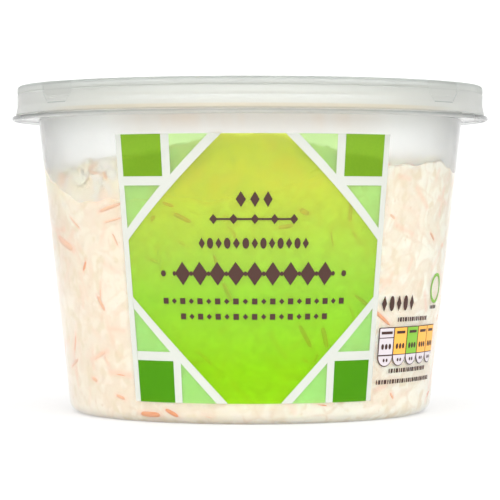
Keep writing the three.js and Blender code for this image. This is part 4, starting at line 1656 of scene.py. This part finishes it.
class COLESLAW_OT_studio(Operator):
    """Set the floor, the backdrop, the light and the camera"""

    bl_idname = "coleslaw.studio"
    bl_label = "Studio"

    def execute(self, context):
        scene = context.scene
        studio = settings(scene, "studio")
        mesh = backdrop_mesh()
        mesh.materials.append(paper_finish(studio))
        sweep = bpy.data.objects.new("sweep", mesh)
        scene.collection.objects.link(sweep)
        scene.world = studio_world(studio)
        camera = bpy.data.objects.new("camera", bpy.data.cameras.new("camera"))
        camera.location = (0, -studio.distance, studio.height)
        camera.rotation_euler = (math.pi / 2 - studio.pitch, 0, 0)
        camera.data.angle = studio.view
        camera.data.clip_start = 10 * MM
        scene.collection.objects.link(camera)
        scene.camera = camera
        scene.view_settings.view_transform = "Standard"
        scene.view_settings.look = "None"
        for limit in ("max_bounces", "transmission_bounces", "transparent_max_bounces"):
            setattr(scene.cycles, limit, 24)
        return {"FINISHED"}


def studio_world(studio):
    """A light tent: bright behind the camera and high up, darker at the sides and straight overhead."""
    # values of a direction's axis between which the light changes
    behind_camera, high_up, overhead = (-0.85, -0.2), (0.3, 0.65), (0.72, 0.92)
    world = bpy.data.worlds.new("light_tent")
    world.use_nodes = True
    tree = world.node_tree
    tree.nodes.clear()
    way = add_node(tree, "ShaderNodeTexCoord").outputs["Generated"]
    _, depth, height = add_node(tree, "ShaderNodeSeparateXYZ", {0: way}).outputs
    level = spread(tree, depth, studio.front, studio.sides, *behind_camera)
    for rise, strength in ((high_up, studio.above), (overhead, studio.zenith)):
        share = spread(tree, height, 0, 1, *rise)
        level = add_node(tree, "ShaderNodeMix", {0: share, 2: level, 3: strength}).outputs[0]
    sky = add_node(tree, "ShaderNodeBackground", {"Color": (1, 1, 1, 1), "Strength": level})
    output = add_node(tree, "ShaderNodeOutputWorld")
    tree.links.new(sky.outputs[0], output.inputs["Surface"])
    return world


# ---------------------------------------------------------------- sidebar and registration
GROUPS = {
    "tub": TubSizes,
    "lid": LidSizes,
    "print": PrintSizes,
    "mix": SaladMix,
    "finishes": Finishes,
    "studio": StudioSettings,
}
OPERATORS = (
    COLESLAW_OT_tub,
    COLESLAW_OT_lid,
    COLESLAW_OT_front_print,
    COLESLAW_OT_ornament,
    COLESLAW_OT_side_print,
    COLESLAW_OT_shreds,
    COLESLAW_OT_dressing,
    COLESLAW_OT_studio,
)


class COLESLAW_PT_sidebar(Panel):
    """Lists the pieces of the tub of coleslaw"""

    bl_label = "Tub of coleslaw"
    bl_idname = "COLESLAW_PT_sidebar"
    bl_space_type = "VIEW_3D"
    bl_region_type = "UI"
    bl_category = "Coleslaw"

    def draw(self, context):
        for operator in OPERATORS:
            self.layout.operator(operator.bl_idname)
        for name, group in GROUPS.items():
            box = self.layout.box()
            box.label(text=group.__doc__)
            for prop in group.__annotations__:
                box.prop(settings(context.scene, name), prop)


CLASSES = (*GROUPS.values(), *OPERATORS, COLESLAW_PT_sidebar)


def register():
    for kind in CLASSES:
        bpy.utils.register_class(kind)
    for name, group in GROUPS.items():
        setattr(bpy.types.Scene, "coleslaw_" + name, PointerProperty(type=group))


def unregister():
    for name in GROUPS:
        delattr(bpy.types.Scene, "coleslaw_" + name)
    for kind in reversed(CLASSES):
        bpy.utils.unregister_class(kind)


def main():
    """Builds every piece, then the studio."""
    register()
    bpy.ops.coleslaw.tub()
    bpy.ops.coleslaw.lid()
    bpy.ops.coleslaw.front_print()
    bpy.ops.coleslaw.ornament()
    bpy.ops.coleslaw.side_print()
    bpy.ops.coleslaw.shreds()
    bpy.ops.coleslaw.dressing()
    bpy.ops.coleslaw.studio()


if __name__ == "__main__":
    main()
